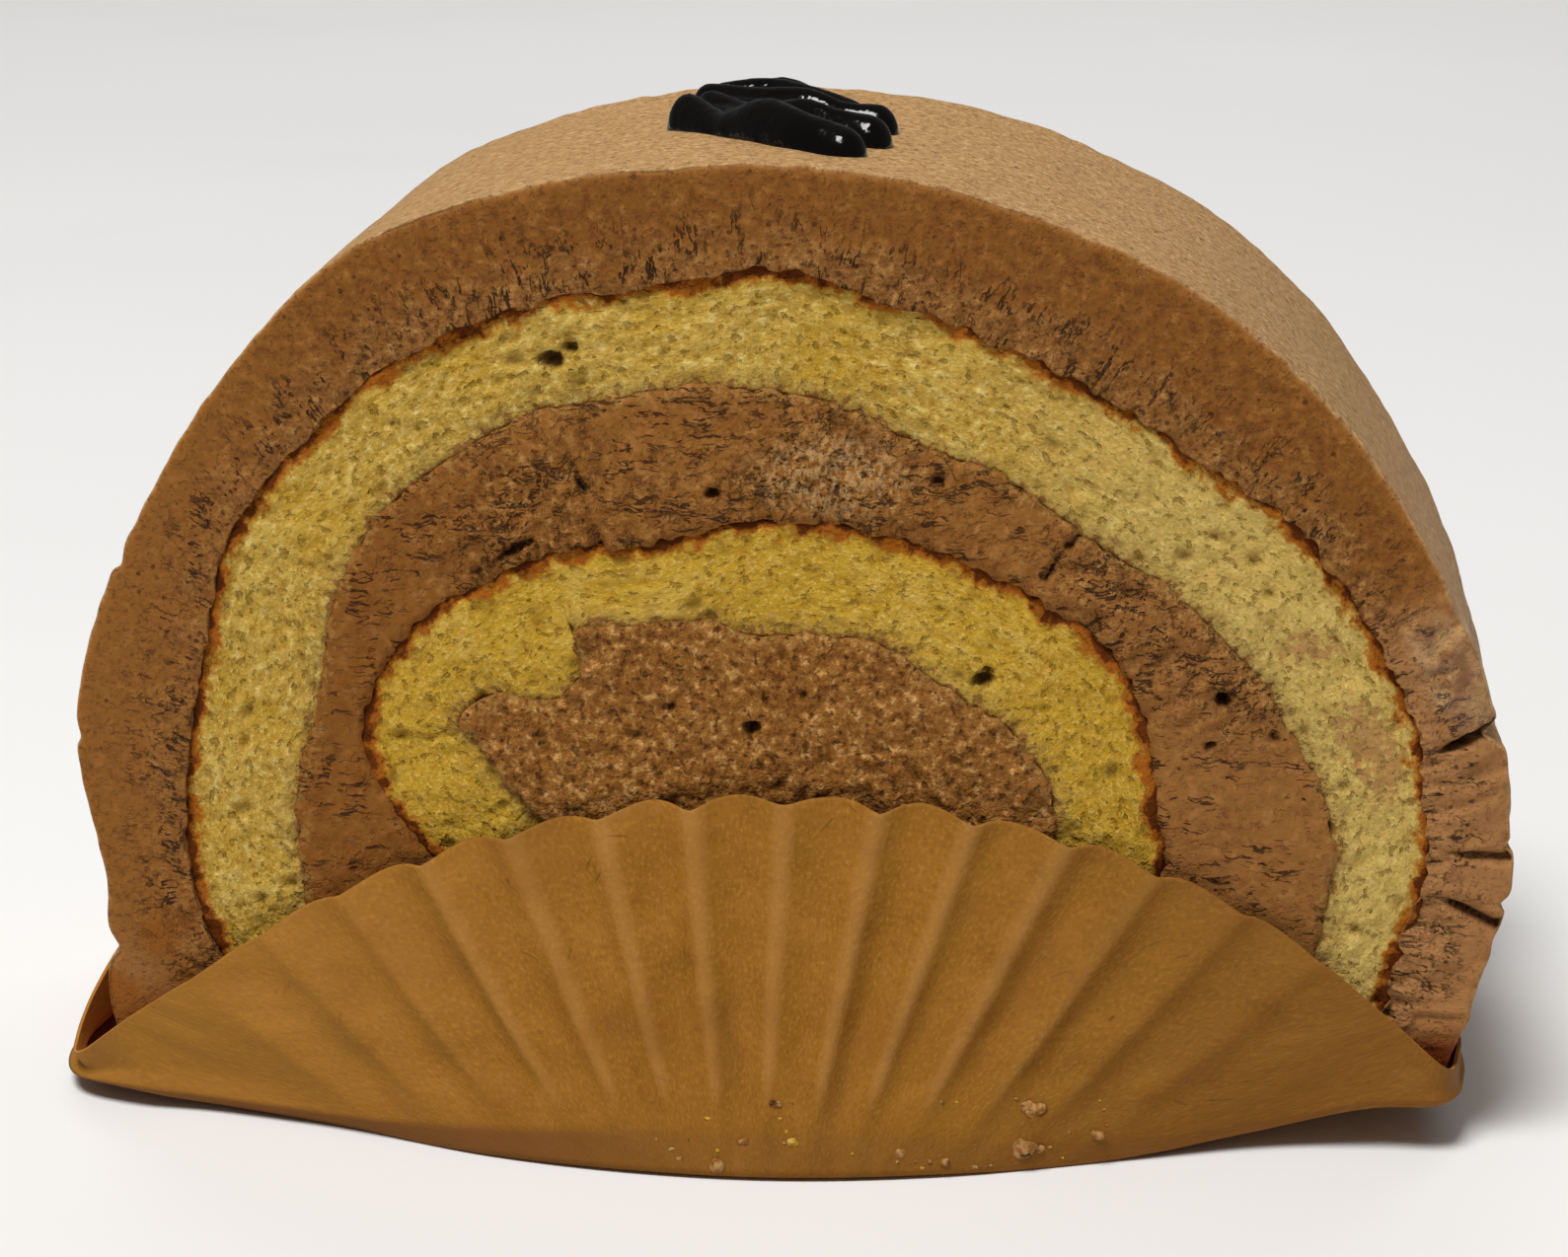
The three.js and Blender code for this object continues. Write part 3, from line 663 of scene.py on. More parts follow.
def cream_relief(flat, along, away, core, face_place, on_front):
    """How far each point of the rolled-up cream lies behind its cut face."""
    rolled = np.column_stack([along, away, np.full(len(flat), face_place)])
    plain = np.column_stack([flat, np.full(len(flat), face_place)])
    rough = sum(np.exp(-(((flat - [x, z]) / reach) ** 2).sum(axis=1)) for x, z, reach in ROUGH_PATCHES)
    rough = np.clip(rough if on_front else lumps(plain, 9, 48), 0, 1)
    torn = 0.38 * lumps(rolled * [1, 0.6, 1], 0.9, 41) + 0.36 * lumps(plain, 1.8, 49)
    calm = 0.06 * lumps(rolled * [1.5, 0.6, 1], 1, 40) + 0.12 * lumps(plain, 3.1, 42)
    grain = layered(plain, (0.24, 0.72, 43), (0.2, 1.5, 44)) + 0.4 * pores(plain, 1.3, 45, 0.25, 0.24)
    depth = (torn * rough + calm) * (1 - core) + grain * core + 0.12 * lumps(plain, 8, 46)
    holes = named_holes(flat, FILLING_HOLES, on_front)
    for split in FILLING_SPLITS:
        ragged = near_split(flat, split) + 0.3 * lumps(plain, 0.8, 47) + 0.05
        holes = np.maximum(holes, on_front * SPLIT_DEPTH * bell(np.maximum(ragged, 0), SPLIT_REACH))
    return depth, holes, rough, rolled


def build_filling():
    flat, triangles, border = fill_outline()
    along, away = along_line(flat, creamed, outward, -1, 4)
    on_rim = np.zeros(len(flat), bool)
    on_rim[border] = True
    core = 1 - smooth_step(CORE_ENDS * 0.94, CORE_ENDS, along / sheet_walk[-1])
    shown = fray_the_rim(flat, on_rim)
    points, rolled_places, wells, roughs = [], [], [], []
    for side, face_place, on_front in ((-1, 0.0, True), (1, BACK_FACE_PLACE, False)):
        depth, holes, rough, rolled = cream_relief(flat, along, away, core, face_place, on_front)
        sunk = np.maximum(depth, -0.2) + holes + 0.1 * on_rim
        points.append(np.column_stack([shown[:, 0], side * (HALF_DEPTH - sunk), shown[:, 1]]))
        rolled_places.append(rolled)
        roughs.append(rough)
        wells.append(np.clip(holes * 1.4 + np.maximum(depth - 0.08, 0) * 0.9, 0, 1))
    count = len(flat)
    faces = triangles[:, ::-1].tolist() + (triangles + count).tolist()
    crumbs = np.exp(-(((flat - CRUMB_PATCH) / CRUMB_PATCH_REACH) ** 2).sum(axis=1))
    readings = {
        "rolled": np.vstack(rolled_places),
        "rough": np.concatenate(roughs),
        "cream_edge": np.concatenate([away, away]),
        "core": np.concatenate([core, core]),
        "crumbs": np.concatenate([crumbs, crumbs * 0]),
        # hollow marks holes and sunk cream, which the material paints dark as painted shade.
        "hollow": np.concatenate(wells),
    }
    faces += border_walls(triangles, border, count)
    return new_piece("cream_swirl", np.vstack(points) + CAKE_SHIFT, faces, readings)


filling = build_filling()

# %% [markdown]
# The case is a round of kraft paper pressed into pleats. At the front and back it folds up against
# the cut faces as two fans, and at the ends it is pulled nearly flat. The ridges of the pleats stand
# towards the viewer and the valleys between them are wide and round, which is what gives the free
# edge its scallops. Both skins of the paper are modelled, so the edge shows its real thickness.

# %% The paper's outline, its pleats and its faces
PAPER_THICKNESS = 0.26
PAPER_SOLID_HALF = 0.175
PAPER_CENTRE = (-1.5, 0)
PLEATS = 46
PLEAT_DEPTH = 0.7
PLEAT_SAMPLES = 14
SCALLOP = 0.42
PAPER_FRONT = [
    (-49.6, 0, -50.4, 0, 7.2), (-50.8, -8, -51, -9.5, 7.0), (-52, -13.2, -52.5, -14, 3.2),
    (-50.4, -17.6, -51, -18.8, 3.4), (-45.5, -19.8, -46.6, -20.3, 7), (-39.5, -20.3, -41, -20.4, 10.8),
    (-31.5, -22.2, -33.2, -20.4, 15.9), (-20, -26.5, -21.8, -20.5, 20.8), (-9, -28.6, -9.8, -20.6, 23.9),
    (1, -28.9, 0.8, -20.6, 24.8), (12, -27.1, 12.4, -20.6, 24), (23, -23.5, 23.6, -20.5, 21.2),
    (33, -20.4, 33.8, -20.4, 16.6), (41, -20, 41.6, -20.3, 10.6), (46.3, -19.7, 46.3, -20, 6.4),
    (47.7, -14.5, 47.5, -15, 5.8), (47.6, -6, 48, -6.5, 6.3), (47.6, 0, 48.2, 0, 6.5),
]
FAN_MIDDLE = -1.2
FAN_DROP = 19
FAN_FADE = (40, 47)
FLAP_STATIONS = (3, 14)
PAPER_RINGS = [(reach, 0.0) for reach in (0.02, 0.3, 0.55, 0.74, 0.84, 0.91, 0.95, 0.98)]
PAPER_RINGS += [(1.0, up) for up in (0.01, 0.03, 0.05, 0.075, 0.1, 0.13, 0.16)]
PAPER_RINGS += [(1.0, up) for up in np.linspace(0.2, 0.98, 27)] + [(1.0, 0.99), (1.0, 1.0)]
FOLD_TOP, FOLD_FADE = 0.13, 0.3
FOLD_BULGE = 1.1


def pleat_feet(t, heights, fold_line, stations):
    """Where on the fold each pleat starts: nearer the middle than it ends, except at the two ends."""
    front = np.minimum(t, 1 - t)
    x = fold_line(front)[:, 0] - FAN_MIDDLE
    on_end = smooth_step(*FAN_FADE, np.abs(x))
    drawn_in = x * (1 - heights / (heights + FAN_DROP) * (1 - on_end))
    flap = np.linspace(FLAP_STATIONS[0] / stations, FLAP_STATIONS[1] / stations, 800)
    feet = np.interp(FAN_MIDDLE + drawn_in, fold_line(flap)[:, 0], flap)
    feet = np.where(on_end == 1, front, feet)
    return np.where(t < 0.5, feet, 1 - feet)


def paper_normals(middle):
    """Unit vectors square to the paper at each of its points."""
    radial = np.gradient(middle, axis=0)
    around = np.roll(middle, -1, axis=1) - np.roll(middle, 1, axis=1)
    normal = np.cross(radial, around)
    return normal / np.linalg.norm(normal, axis=2, keepdims=True)


def paper_faces(ring_count, count):
    """Quads of the two skins, of the free edge, and of the small closed hole at the middle."""
    ids = np.arange(2 * ring_count * count).reshape(2, ring_count, count)
    after = np.roll(ids, -1, axis=2)
    quads = []
    for corners, turned in (
        ([ids[0, :-1], ids[0, 1:], after[0, 1:], after[0, :-1]], False),
        ([ids[1, :-1], ids[1, 1:], after[1, 1:], after[1, :-1]], True),
        ([ids[0, -1], ids[1, -1], after[1, -1], after[0, -1]], False),
        ([ids[0, 0], ids[1, 0], after[1, 0], after[0, 0]], True),
    ):
        if turned:
            corners.reverse()
        quads.append(np.stack(corners, axis=-1).reshape(-1, 4))
    return np.concatenate(quads).tolist()


print("paper:", PLEATS, "pleats and", len(PAPER_RINGS), "rings from the middle to the free edge")

# %% [markdown]
# The sheet is a stack of rings. The first ones lie on the table, and the others climb from the fold to
# the free edge. Pleats begin at nothing on the fold and have their full depth half way up. Just above
# the fold the paper bulges outwards, most of all at the left end, because it springs back from the
# crease. Its thickness is laid on both sides of these rings at the end.

# %% Build the paper case
def build_paper():
    back = [(a, -b, x, -y, z) for a, b, x, y, z in PAPER_FRONT[1:-1][::-1]]
    around = np.array(PAPER_FRONT + back, float)
    fold_line = smooth_line(np.column_stack([around[:, :2], lift(around[:, 0])]), closed=True)
    edge_line = smooth_line(around[:, 2:], closed=True)
    count = PLEATS * PLEAT_SAMPLES
    step = np.arange(count) / count
    t, edge_length = even_shares(edge_line, step)
    top = edge_line(t)
    bottom = fold_line(pleat_feet(t, top[:, 2], fold_line, len(around)))
    centre = np.array([*PAPER_CENTRE, 0.0])
    out_way = bottom - centre
    out_way[:, 2] = 0
    out_way /= np.linalg.norm(out_way, axis=1, keepdims=True)
    phase = np.arange(count) / PLEAT_SAMPLES * 2 * math.pi
    uneven = lumps(np.column_stack([step * PLEATS * 1.3, step * 0, step * 0]), 1.0, 61)
    ridge = 1 - np.sqrt(np.sin(phase / 2) ** 2 + 0.03)
    pleat = (ridge * 1.7 - 0.55) * (1 + 0.35 * uneven)
    far_out = np.abs(top[:, 0] - centre[0])
    on_flap = (1 - 0.85 * smooth_step(38, 46, far_out)) * (1 - 0.4 * smooth_step(18, 36, far_out))
    end_curl = smooth_step(18, 40, np.abs(bottom[:, 0])) * np.where(bottom[:, 0] > 0, 0.15, 1)
    rings = []
    for reach, up in PAPER_RINGS:
        ring = centre + (bottom - centre) * reach
        ring[:, 2] = lift(ring[:, 0])
        if up > 0:
            deep = PLEAT_DEPTH * on_flap * smooth_step(0, 0.5, up)
            fold = up / FOLD_TOP if up < FOLD_TOP else max(1 - (up - FOLD_TOP) / FOLD_FADE, 0) ** 2
            bulge = (0.15 + 0.85 * end_curl) * FOLD_BULGE * fold
            ring = bottom + (top - bottom) * up + out_way * (pleat * deep + bulge)[:, None]
            ring[:, 2] -= pleat * on_flap * SCALLOP * up**3
        rings.append(ring + out_way * (0.16 * lumps(ring, 5, 62) * min(up * 4, 1))[:, None])
    middle = np.array(rings)
    skins = [middle + paper_normals(middle) * side * PAPER_THICKNESS / 2 for side in (1, -1)]
    points = np.vstack([skin.reshape(-1, 3) for skin in skins])
    points[:, 2] = np.maximum(points[:, 2], 0.01 - PAPER_SOLID_HALF) + PAPER_SOLID_HALF
    ups = np.repeat([up for _, up in PAPER_RINGS], count)
    reaches = np.repeat([reach for reach, _ in PAPER_RINGS], count)
    rise = np.linalg.norm(top - bottom, axis=1)
    across = (reaches - 1) * 30 + ups * np.tile(rise, len(PAPER_RINGS))
    sheet_place = np.column_stack([np.tile(step * edge_length, len(PAPER_RINGS)), across, ups * 0])
    # The pleat ridges' mask, which the paper's material paints paler as a painted highlight.
    pleat_ridge_highlight = np.tile(ridge * on_flap, len(PAPER_RINGS)) * smooth_step(0.02, 0.3, ups)
    readings = {
        "pleat_ridge_highlight": np.concatenate([pleat_ridge_highlight, pleat_ridge_highlight]),
        "rolled": np.vstack([sheet_place, sheet_place]),
        "inside": np.concatenate([np.ones(len(ups)), np.zeros(len(ups))]),
        "up": np.concatenate([ups, ups]),
    }
    return new_piece("kraft_case", points + CAKE_SHIFT, paper_faces(len(PAPER_RINGS), count), readings)


paper = build_paper()

# %% [markdown]
# The next two steps are made of many little balls: the beads that the chocolate is strung from, and
# the crumbs. So one ball is made once, and its copies, each with a size and a place of its own, are
# joined into one mesh.

# %% Beads and crumbs are little balls
def little_ball():
    """Points and triangles of a ball of radius 1."""
    ball = bmesh.new()
    bmesh.ops.create_icosphere(ball, subdivisions=3, radius=1)
    ball.verts.index_update()
    points = np.array([vertex.co for vertex in ball.verts])
    faces = np.array([[vertex.index for vertex in face.verts] for face in ball.faces])
    ball.free()
    return points, faces


def join(shapes, faces):
    """Many shapes with the same faces as one, with the faces numbered on."""
    numbered = [faces + which * len(shapes[0]) for which in range(len(shapes))]
    return np.vstack(shapes), np.concatenate(numbered).tolist()


ball_points, ball_faces = little_ball()
print("a ball has", len(ball_points), "points")

# %% [markdown]
# The chocolate was piped in one go, left and right, from the front to the back. Where the strand lies
# on itself it sinks into a pool with soft ridges, and its turns at the right stay apart as three
# fingers. Beads strung along each run and melted together by a voxel remesh give that look at once,
# where a bevelled curve would keep its seams. The beads rise from the cream like domes.

# %% Pipe the chocolate
STRANDS = [
    [
        (-8.4, -1.2, 2.5, 1.6), (-5.6, -4.2, 1.5, 1.5), (-2.2, -7.6, 2.9, 1.6), (0.8, -10.6, 2.4, 1.6),
        (3.4, -12.0, 1.9, 1.8),
    ],
    [
        (-7.0, 0.6, 2.4, 1.5), (-3.4, -2.4, 1.7, 1.5), (0.2, -4.9, 2.6, 1.4), (2.6, -6.2, 2.2, 1.3),
        (4.9, -6.9, 2.1, 1.7),
    ],
    [
        (-7.4, 3.0, 2.6, 1.5), (-3.6, 1.6, 2.4, 1.4), (0.0, 0.2, 2.6, 1.4), (2.6, -0.6, 1.9, 1.3),
        (5.0, -0.7, 2.0, 1.6),
    ],
    [(-6.6, 5.2, 2.3, 1.5), (-3.2, 5.0, 2.6, 1.5), (0.2, 3.6, 2.2, 1.5), (2.8, 2.6, 1.6, 1.5)],
    [(-5.0, 8.2, 1.7, 1.5), (-2.4, 7.6, 2.3, 1.5), (0.4, 5.8, 1.5, 1.4)],
]
POOL = [
    [(-7.2, -1.0, 1.3, 2.2), (-2.4, -4.8, 1.4, 2.2), (1.2, -8.6, 1.3, 2.0), (3.2, -10.2, 1.1, 1.8)],
    [(-7.0, 2.0, 1.5, 2.2), (-2.0, -1.0, 1.6, 2.4), (2.2, -3.6, 1.2, 1.8)],
    [(-6.2, 4.8, 1.4, 2.0), (-1.8, 3.2, 1.6, 2.4), (1.8, 1.0, 1.1, 1.8)],
]
BEAD_STEP = 0.35
BEAD_SUNK = 0.25
MELT_GRAIN = 0.2
FOOT_UNDER_CREAM = 0.1


def cream_top(x):
    """Height of the coat's top at x."""
    crown = coat_outside[coat_outside[:, 1] > 55]
    return np.interp(x, crown[:, 0], crown[:, 1])


def pipe_chocolate():
    beads = []
    for strand in STRANDS + POOL:
        line = smooth_line(strand)
        _, length = even_shares(line, [0, 1])
        for x, y, height, radius in line(np.linspace(0, 1, max(int(length / BEAD_STEP), 2))):
            size = [radius, radius, height + BEAD_SUNK]
            beads.append(ball_points * size + [x, y, cream_top(x) - BEAD_SUNK])
    points, faces = join(beads, ball_faces)
    piece = new_piece("chocolate_zigzag", points + CAKE_SHIFT, faces)
    melt = piece.modifiers.new("melt", "REMESH")
    melt.mode = "VOXEL"
    melt.voxel_size = MELT_GRAIN * MM
    soften = piece.modifiers.new("soften", "SMOOTH")
    soften.iterations = 26
    soften.factor = 0.6
    graph = bpy.context.evaluated_depsgraph_get()
    melted = bpy.data.meshes.new_from_object(piece.evaluated_get(graph))
    piece.modifiers.clear()
    beaded = piece.data
    piece.data = melted
    bpy.data.meshes.remove(beaded)
    for vertex in melted.vertices:
        under = (cream_top(vertex.co.x / MM - shift_x) - FOOT_UNDER_CREAM) * MM
        vertex.co.z = max(vertex.co.z, under)
    melted.shade_smooth()
    print("chocolate has", len(melted.vertices), "points after melting")
    return piece


chocolate = pipe_chocolate()

# %% [markdown]
# Cutting and serving leaves crumbs: dabs of cream and grains of sponge stuck low on the paper. They
# are little balls with lumps, each one sunk half into the paper at the nearest point of its outer
# skin. A few big ones are placed where the eye finds them, and seeded small ones lie round about.

# %% Scatter the crumbs
CREAM_DABS = [
    (-3.7, 0.9, 0.7), (-2.6, 0.7, 0.45), (8.9, 1.7, 0.55), (9.9, 1.2, 0.4), (12.0, 1.2, 0.45),
    (17.9, 4.5, 0.65), (18.9, 4.0, 0.4), (17.0, 1.9, 0.75), (18.2, 1.6, 0.5), (22.3, 2.6, 0.5),
    (0.2, 5.2, 0.35), (-1.9, 3.0, 0.3),
]
SPONGE_CRUMBS = [(1.0, 3.1, 0.42), (1.6, 2.7, 0.26), (24.6, 13.6, 0.18), (11.2, 4.4, 0.22)]
SMALL_CRUMBS = 34
SMALL_AREA = ((-8, 24), (0.6, 5.5))
SMALL_SIZES = (0.08, 0.2)
FAR_FROM_EDGES = 5.0
LOWEST_CRUMB = 0.02


def scatter_crumbs(name, big_ones, small_count, seed, paleness):
    random = np.random.default_rng(seed)
    spreads = (*SMALL_AREA, SMALL_SIZES)
    small = [tuple(random.uniform(*spread) for spread in spreads) for _ in range(small_count)]
    skin = np.array([vertex.co for vertex in paper.data.vertices]) / MM - CAKE_SHIFT
    front = skin[skin[:, 1] < -18]
    grains = []
    for x, z, size in big_ones + small:
        off = np.linalg.norm(front[:, [0, 2]] - [x, z], axis=1) + (front[:, 1] + 30) * 0.05
        spot = front[np.argmin(off)]
        grain = ball_points * (random.uniform(0.7, 1.3, 3) * [1.15, 0.6, 0.85]) * size
        grain = grain * (1 + 0.5 * lumps(grain + spot, size * 0.9, seed))[:, None]
        grains.append(grain + spot)
    points, faces = join(grains, ball_faces)
    far = np.full(len(points), FAR_FROM_EDGES)
    readings = {"rolled": points, "crust": far, "cream_edge": far, "crumbs": far * 0 + paleness}
    points[:, 2] = np.maximum(points[:, 2], LOWEST_CRUMB)
    return new_piece(name, points + CAKE_SHIFT, faces, readings)


dabs = scatter_crumbs("cream_dabs", CREAM_DABS, SMALL_CRUMBS, 71, 0.7)
crumbs = scatter_crumbs("sponge_crumbs", SPONGE_CRUMBS, SMALL_CRUMBS // 2, 72, 0)

# %% [markdown]
# Every material here looks something up: a place on its surface, a reading from the mesh, or a noise
# of some size. A small helper that lays out nodes keeps those recipes short enough to read. It is not
# a shader itself. Places are in millimetres, so a size in a recipe is the size on the cake. Colours
# are written as a screen shows them, and turned into the linear values that light works with.

# %% A helper that lays out nodes
def tone(*screen):
    """A screen colour, 0 to 255, as linear light for a colour socket."""
    parts = [part / 255 for part in screen]
    return tuple(p / 12.92 if p < 0.04045 else ((p + 0.055) / 1.055) ** 2.4 for p in parts) + (1.0,)


class Recipe:
    """Lays out the nodes of one material or one group."""

    def __init__(self, tree):
        self.tree = tree

    def node(self, kind, inputs=None, **settings):
        made = self.tree.nodes.new(kind if kind.startswith("Node") else "ShaderNode" + kind)
        for name, value in settings.items():
            setattr(made, name, value)
        for name, value in (inputs or {}).items():
            if isinstance(value, bpy.types.NodeSocket):
                self.tree.links.new(value, made.inputs[name])
            else:
                made.inputs[name].default_value = value
        return made

    def use(self, group, **inputs):
        return self.node("Group", inputs, node_tree=group)

    def reading(self, name, output="Fac"):
        return self.node("Attribute", attribute_name=name).outputs[output]

    def math(self, operation, a, b=0.0, clamp=False):
        return self.node("Math", {0: a, 1: b}, operation=operation, use_clamp=clamp).outputs[0]

    def plus(self, a, b):
        return self.math("ADD", a, b)

    def times(self, a, b):
        return self.math("MULTIPLY", a, b)

    def less(self, a, b):
        return self.math("SUBTRACT", a, b)

    def most(self, first, *others):
        for other in others:
            first = self.math("MAXIMUM", first, other)
        return first

    def vector(self, operation, a, b):
        return self.node("VectorMath", {0: a, 1: b}, operation=operation).outputs[0]

    def stretch(self, place, factors):
        return self.vector("MULTIPLY", place, factors)

    def part(self, vector, letter):
        return self.node("SeparateXYZ", {0: vector}).outputs[letter]

    def place_in_mm(self):
        """The piece's own place in millimetres."""
        return self.stretch(self.node("TexCoord").outputs["Object"], (1 / MM,) * 3)

    def between(self, value, low, high, start=0.0, end=1.0):
        """Start up to low and end from high on, with a soft change between the two."""
        inputs = {"Value": value, "From Min": low, "From Max": high, "To Min": start, "To Max": end}
        return self.node("MapRange", inputs, interpolation_type="SMOOTHSTEP").outputs[0]

    def noise(self, place, size, detail=2.0, roughness=0.5):
        scale = self.math("DIVIDE", 1.0, size)
        inputs = {"Vector": place, "Scale": scale, "Detail": detail, "Roughness": roughness}
        return self.node("TexNoise", inputs).outputs["Fac"]

    def drift(self, place, size, detail, low, high, start=0.0, end=1.0):
        """A noise whose values from low to high are spread from start to end."""
        return self.between(self.noise(place, size, detail), low, high, start, end)

    def mix(self, amount, a, b):
        return self.node("Mix", {0: amount, 6: a, 7: b}, data_type="RGBA").outputs[2]

    def paint(self, colour, *layers):
        """Lays colours over one another in turn. A layer is its mask, its strength and its colour."""
        for mask, strength, over in layers:
            amount = mask if strength == 1 else self.times(mask, strength)
            colour = self.mix(amount, colour, tone(*over) if isinstance(over, tuple) else over)
        return colour


def new_group(name, inputs, outputs):
    """An empty group with named sockets, its recipe, and its inputs."""
    group = bpy.data.node_groups.new(name, "ShaderNodeTree")
    kinds = {"value": "NodeSocketFloat", "colour": "NodeSocketColor", "vector": "NodeSocketVector"}
    for socket, kind in inputs.items():
        group.interface.new_socket(socket, in_out="INPUT", socket_type=kinds[kind])
    for socket, kind in outputs.items():
        group.interface.new_socket(socket, in_out="OUTPUT", socket_type=kinds[kind])
    recipe = Recipe(group)
    return group, recipe, recipe.node("NodeGroupInput").outputs


# %% [markdown]
# Four effects come back in several materials, so each is one node group with its own inputs. The
# first is a tone that drifts between a deep, a middle and a pale colour, as every food's does. One
# noise makes the drift, and two soft borders in it part the three colours.

# %% Mottled tone
tone_group, recipe, given = new_group(
    "Mottled tone",
    {"Place": "vector", "Size": "value", "Deep": "colour", "Middle": "colour", "Pale": "colour"},
    {"Tone": "colour"},
)
wash = recipe.noise(given["Place"], given["Size"], detail=5.0, roughness=0.62)
deep_part = recipe.mix(recipe.between(wash, 0.3, 0.5), given["Deep"], given["Middle"])
drifting = recipe.mix(recipe.between(wash, 0.5, 0.72), deep_part, given["Pale"])
recipe.node("NodeGroupOutput", {"Tone": drifting})


def mottled(recipe, place, size, deep, middle, pale):
    """A tone that drifts between three screen colours, in patches of the given size in mm."""
    tones = {"Deep": tone(*deep), "Middle": tone(*middle), "Pale": tone(*pale)}
    return recipe.use(tone_group, Place=place, Size=size, **tones).outputs["Tone"]


print("group:", tone_group.name)

# %% [markdown]
# The second is the grain that all soft food has close up. It gives a height for a bump, and the pits
# in it as a mask of their own, so that a material can darken them too. The pits come from a second
# noise at another place, so that they don't all sit in the hollows of the first.

# %% Fine grain
PIT_OFFSET = (37.0, 11.0, 5.0)
grain_group, recipe, given = new_group(
    "Fine grain", {"Place": "vector", "Size": "value", "Pits": "value"}, {"Height": "value", "Pit": "value"}
)
soft = recipe.noise(given["Place"], given["Size"], detail=4.0, roughness=0.6)
apart = recipe.vector("ADD", given["Place"], PIT_OFFSET)
holes = recipe.noise(apart, recipe.times(given["Size"], 1.3), detail=3.0, roughness=0.55)
pit = recipe.times(recipe.between(holes, 0.56, 0.68), given["Pits"])
recipe.node("NodeGroupOutput", {"Height": recipe.less(soft, pit), "Pit": pit})
print("group:", grain_group.name)

# %% [markdown]
# The third is what a knife does to stiff cream: short dashes torn open along the run of the cut, and
# thin winding splits. The dashes are the peaks of a noise drawn out by Run, and the splits are where a
# larger noise crosses its middle value. A slow noise keeps both in patches, as they are on the cake.

# %% Hair cracks
crack_group, recipe, given = new_group(
    "Hair cracks",
    {"Place": "vector", "Width": "value", "Run": "value", "Amount": "value"},
    {"Crack": "value"},
)
shape = recipe.node("CombineXYZ", {0: recipe.math("DIVIDE", 1.0, given["Run"]), 1: 1.0, 2: 1.0}).outputs[0]
pulled = recipe.stretch(given["Place"], shape)
bend = recipe.node("TexNoise", {"Vector": given["Place"], "Scale": 0.7, "Detail": 2.0}).outputs["Color"]
moved = recipe.vector("ADD", pulled, recipe.stretch(bend, (0.3, 0.0, 1.0)))
dash = recipe.between(recipe.noise(moved, given["Width"], detail=2.0, roughness=0.55), 0.64, 0.69)
winding = recipe.noise(moved, recipe.times(given["Width"], 2.6), detail=4.0, roughness=0.6)
off_line = recipe.math("ABSOLUTE", recipe.less(winding, 0.5))
broken = recipe.drift(given["Place"], 1.7, 2.0, 0.5, 0.56)
split = recipe.times(recipe.between(off_line, 0.024, 0.006), broken)
patch = recipe.times(recipe.drift(given["Place"], 3.4, 2.0, 0.4, 0.55), given["Amount"])
torn_open = recipe.math("MULTIPLY", recipe.most(dash, split), patch, clamp=True)
recipe.node("NodeGroupOutput", {"Crack": torn_open})
print("group:", crack_group.name)

# %% [markdown]
# The last is specks: cocoa in the cream, flecks in the paper. Space is parted into cells, each with a
# colour of its own that serves as its throws. The first throw says whether the cell has a speck at
# its middle, and the second how large it is. A stretched place turns the dots into short hairs.

# %% Specks
speck_group, recipe, given = new_group(
    "Specks",
    {"Place": "vector", "Spacing": "value", "Reach": "value", "Share": "value"},
    {"Speck": "value"},
)
per_mm = recipe.math("DIVIDE", 1.0, given["Spacing"])
cell = recipe.node("TexVoronoi", {"Vector": given["Place"], "Scale": per_mm}).outputs
throw = recipe.node("SeparateColor", {0: cell["Color"]}).outputs
kept = recipe.math("LESS_THAN", throw[0], given["Share"])
reach = recipe.times(given["Reach"], recipe.plus(throw[1], 0.35))
dot = recipe.math("LESS_THAN", cell["Distance"], reach)
recipe.node("NodeGroupOutput", {"Speck": recipe.times(dot, kept)})
print("group:", speck_group.name)

# %% [markdown]
# Materials next. Each one starts with a Principled shader and ends by joining a colour, a roughness
# and a few heights to it, so both are functions. Each height is a bump of its own, laid over the one
# before, because grain, pits and cracks differ in depth.

# %% Start and end of a material
def start_material(name, **fixed):
    material = bpy.data.materials.new(name)
    material.use_nodes = True
    material.node_tree.nodes.clear()
    recipe = Recipe(material.node_tree)
    shader = recipe.node("BsdfPrincipled", {key.replace("_", " "): value for key, value in fixed.items()})
    recipe.node("OutputMaterial", {"Surface": shader.outputs["BSDF"]})
    return material, recipe, shader


def finish_shader(recipe, shader, colour, roughness, heights):
    """Joins colour and roughness, and each height in turn as a Bump: a socket and its depth in mm."""
    recipe.tree.links.new(colour, shader.inputs["Base Color"])
    recipe.tree.links.new(roughness, shader.inputs["Roughness"])
    normal = {}
    for height, depth in heights:
        inputs = {"Height": height, "Distance": depth * MM, "Strength": 1.0, **normal}
        normal = {"Normal": recipe.node("Bump", inputs).outputs["Normal"]}
    recipe.tree.links.new(normal["Normal"], shader.inputs["Normal"])
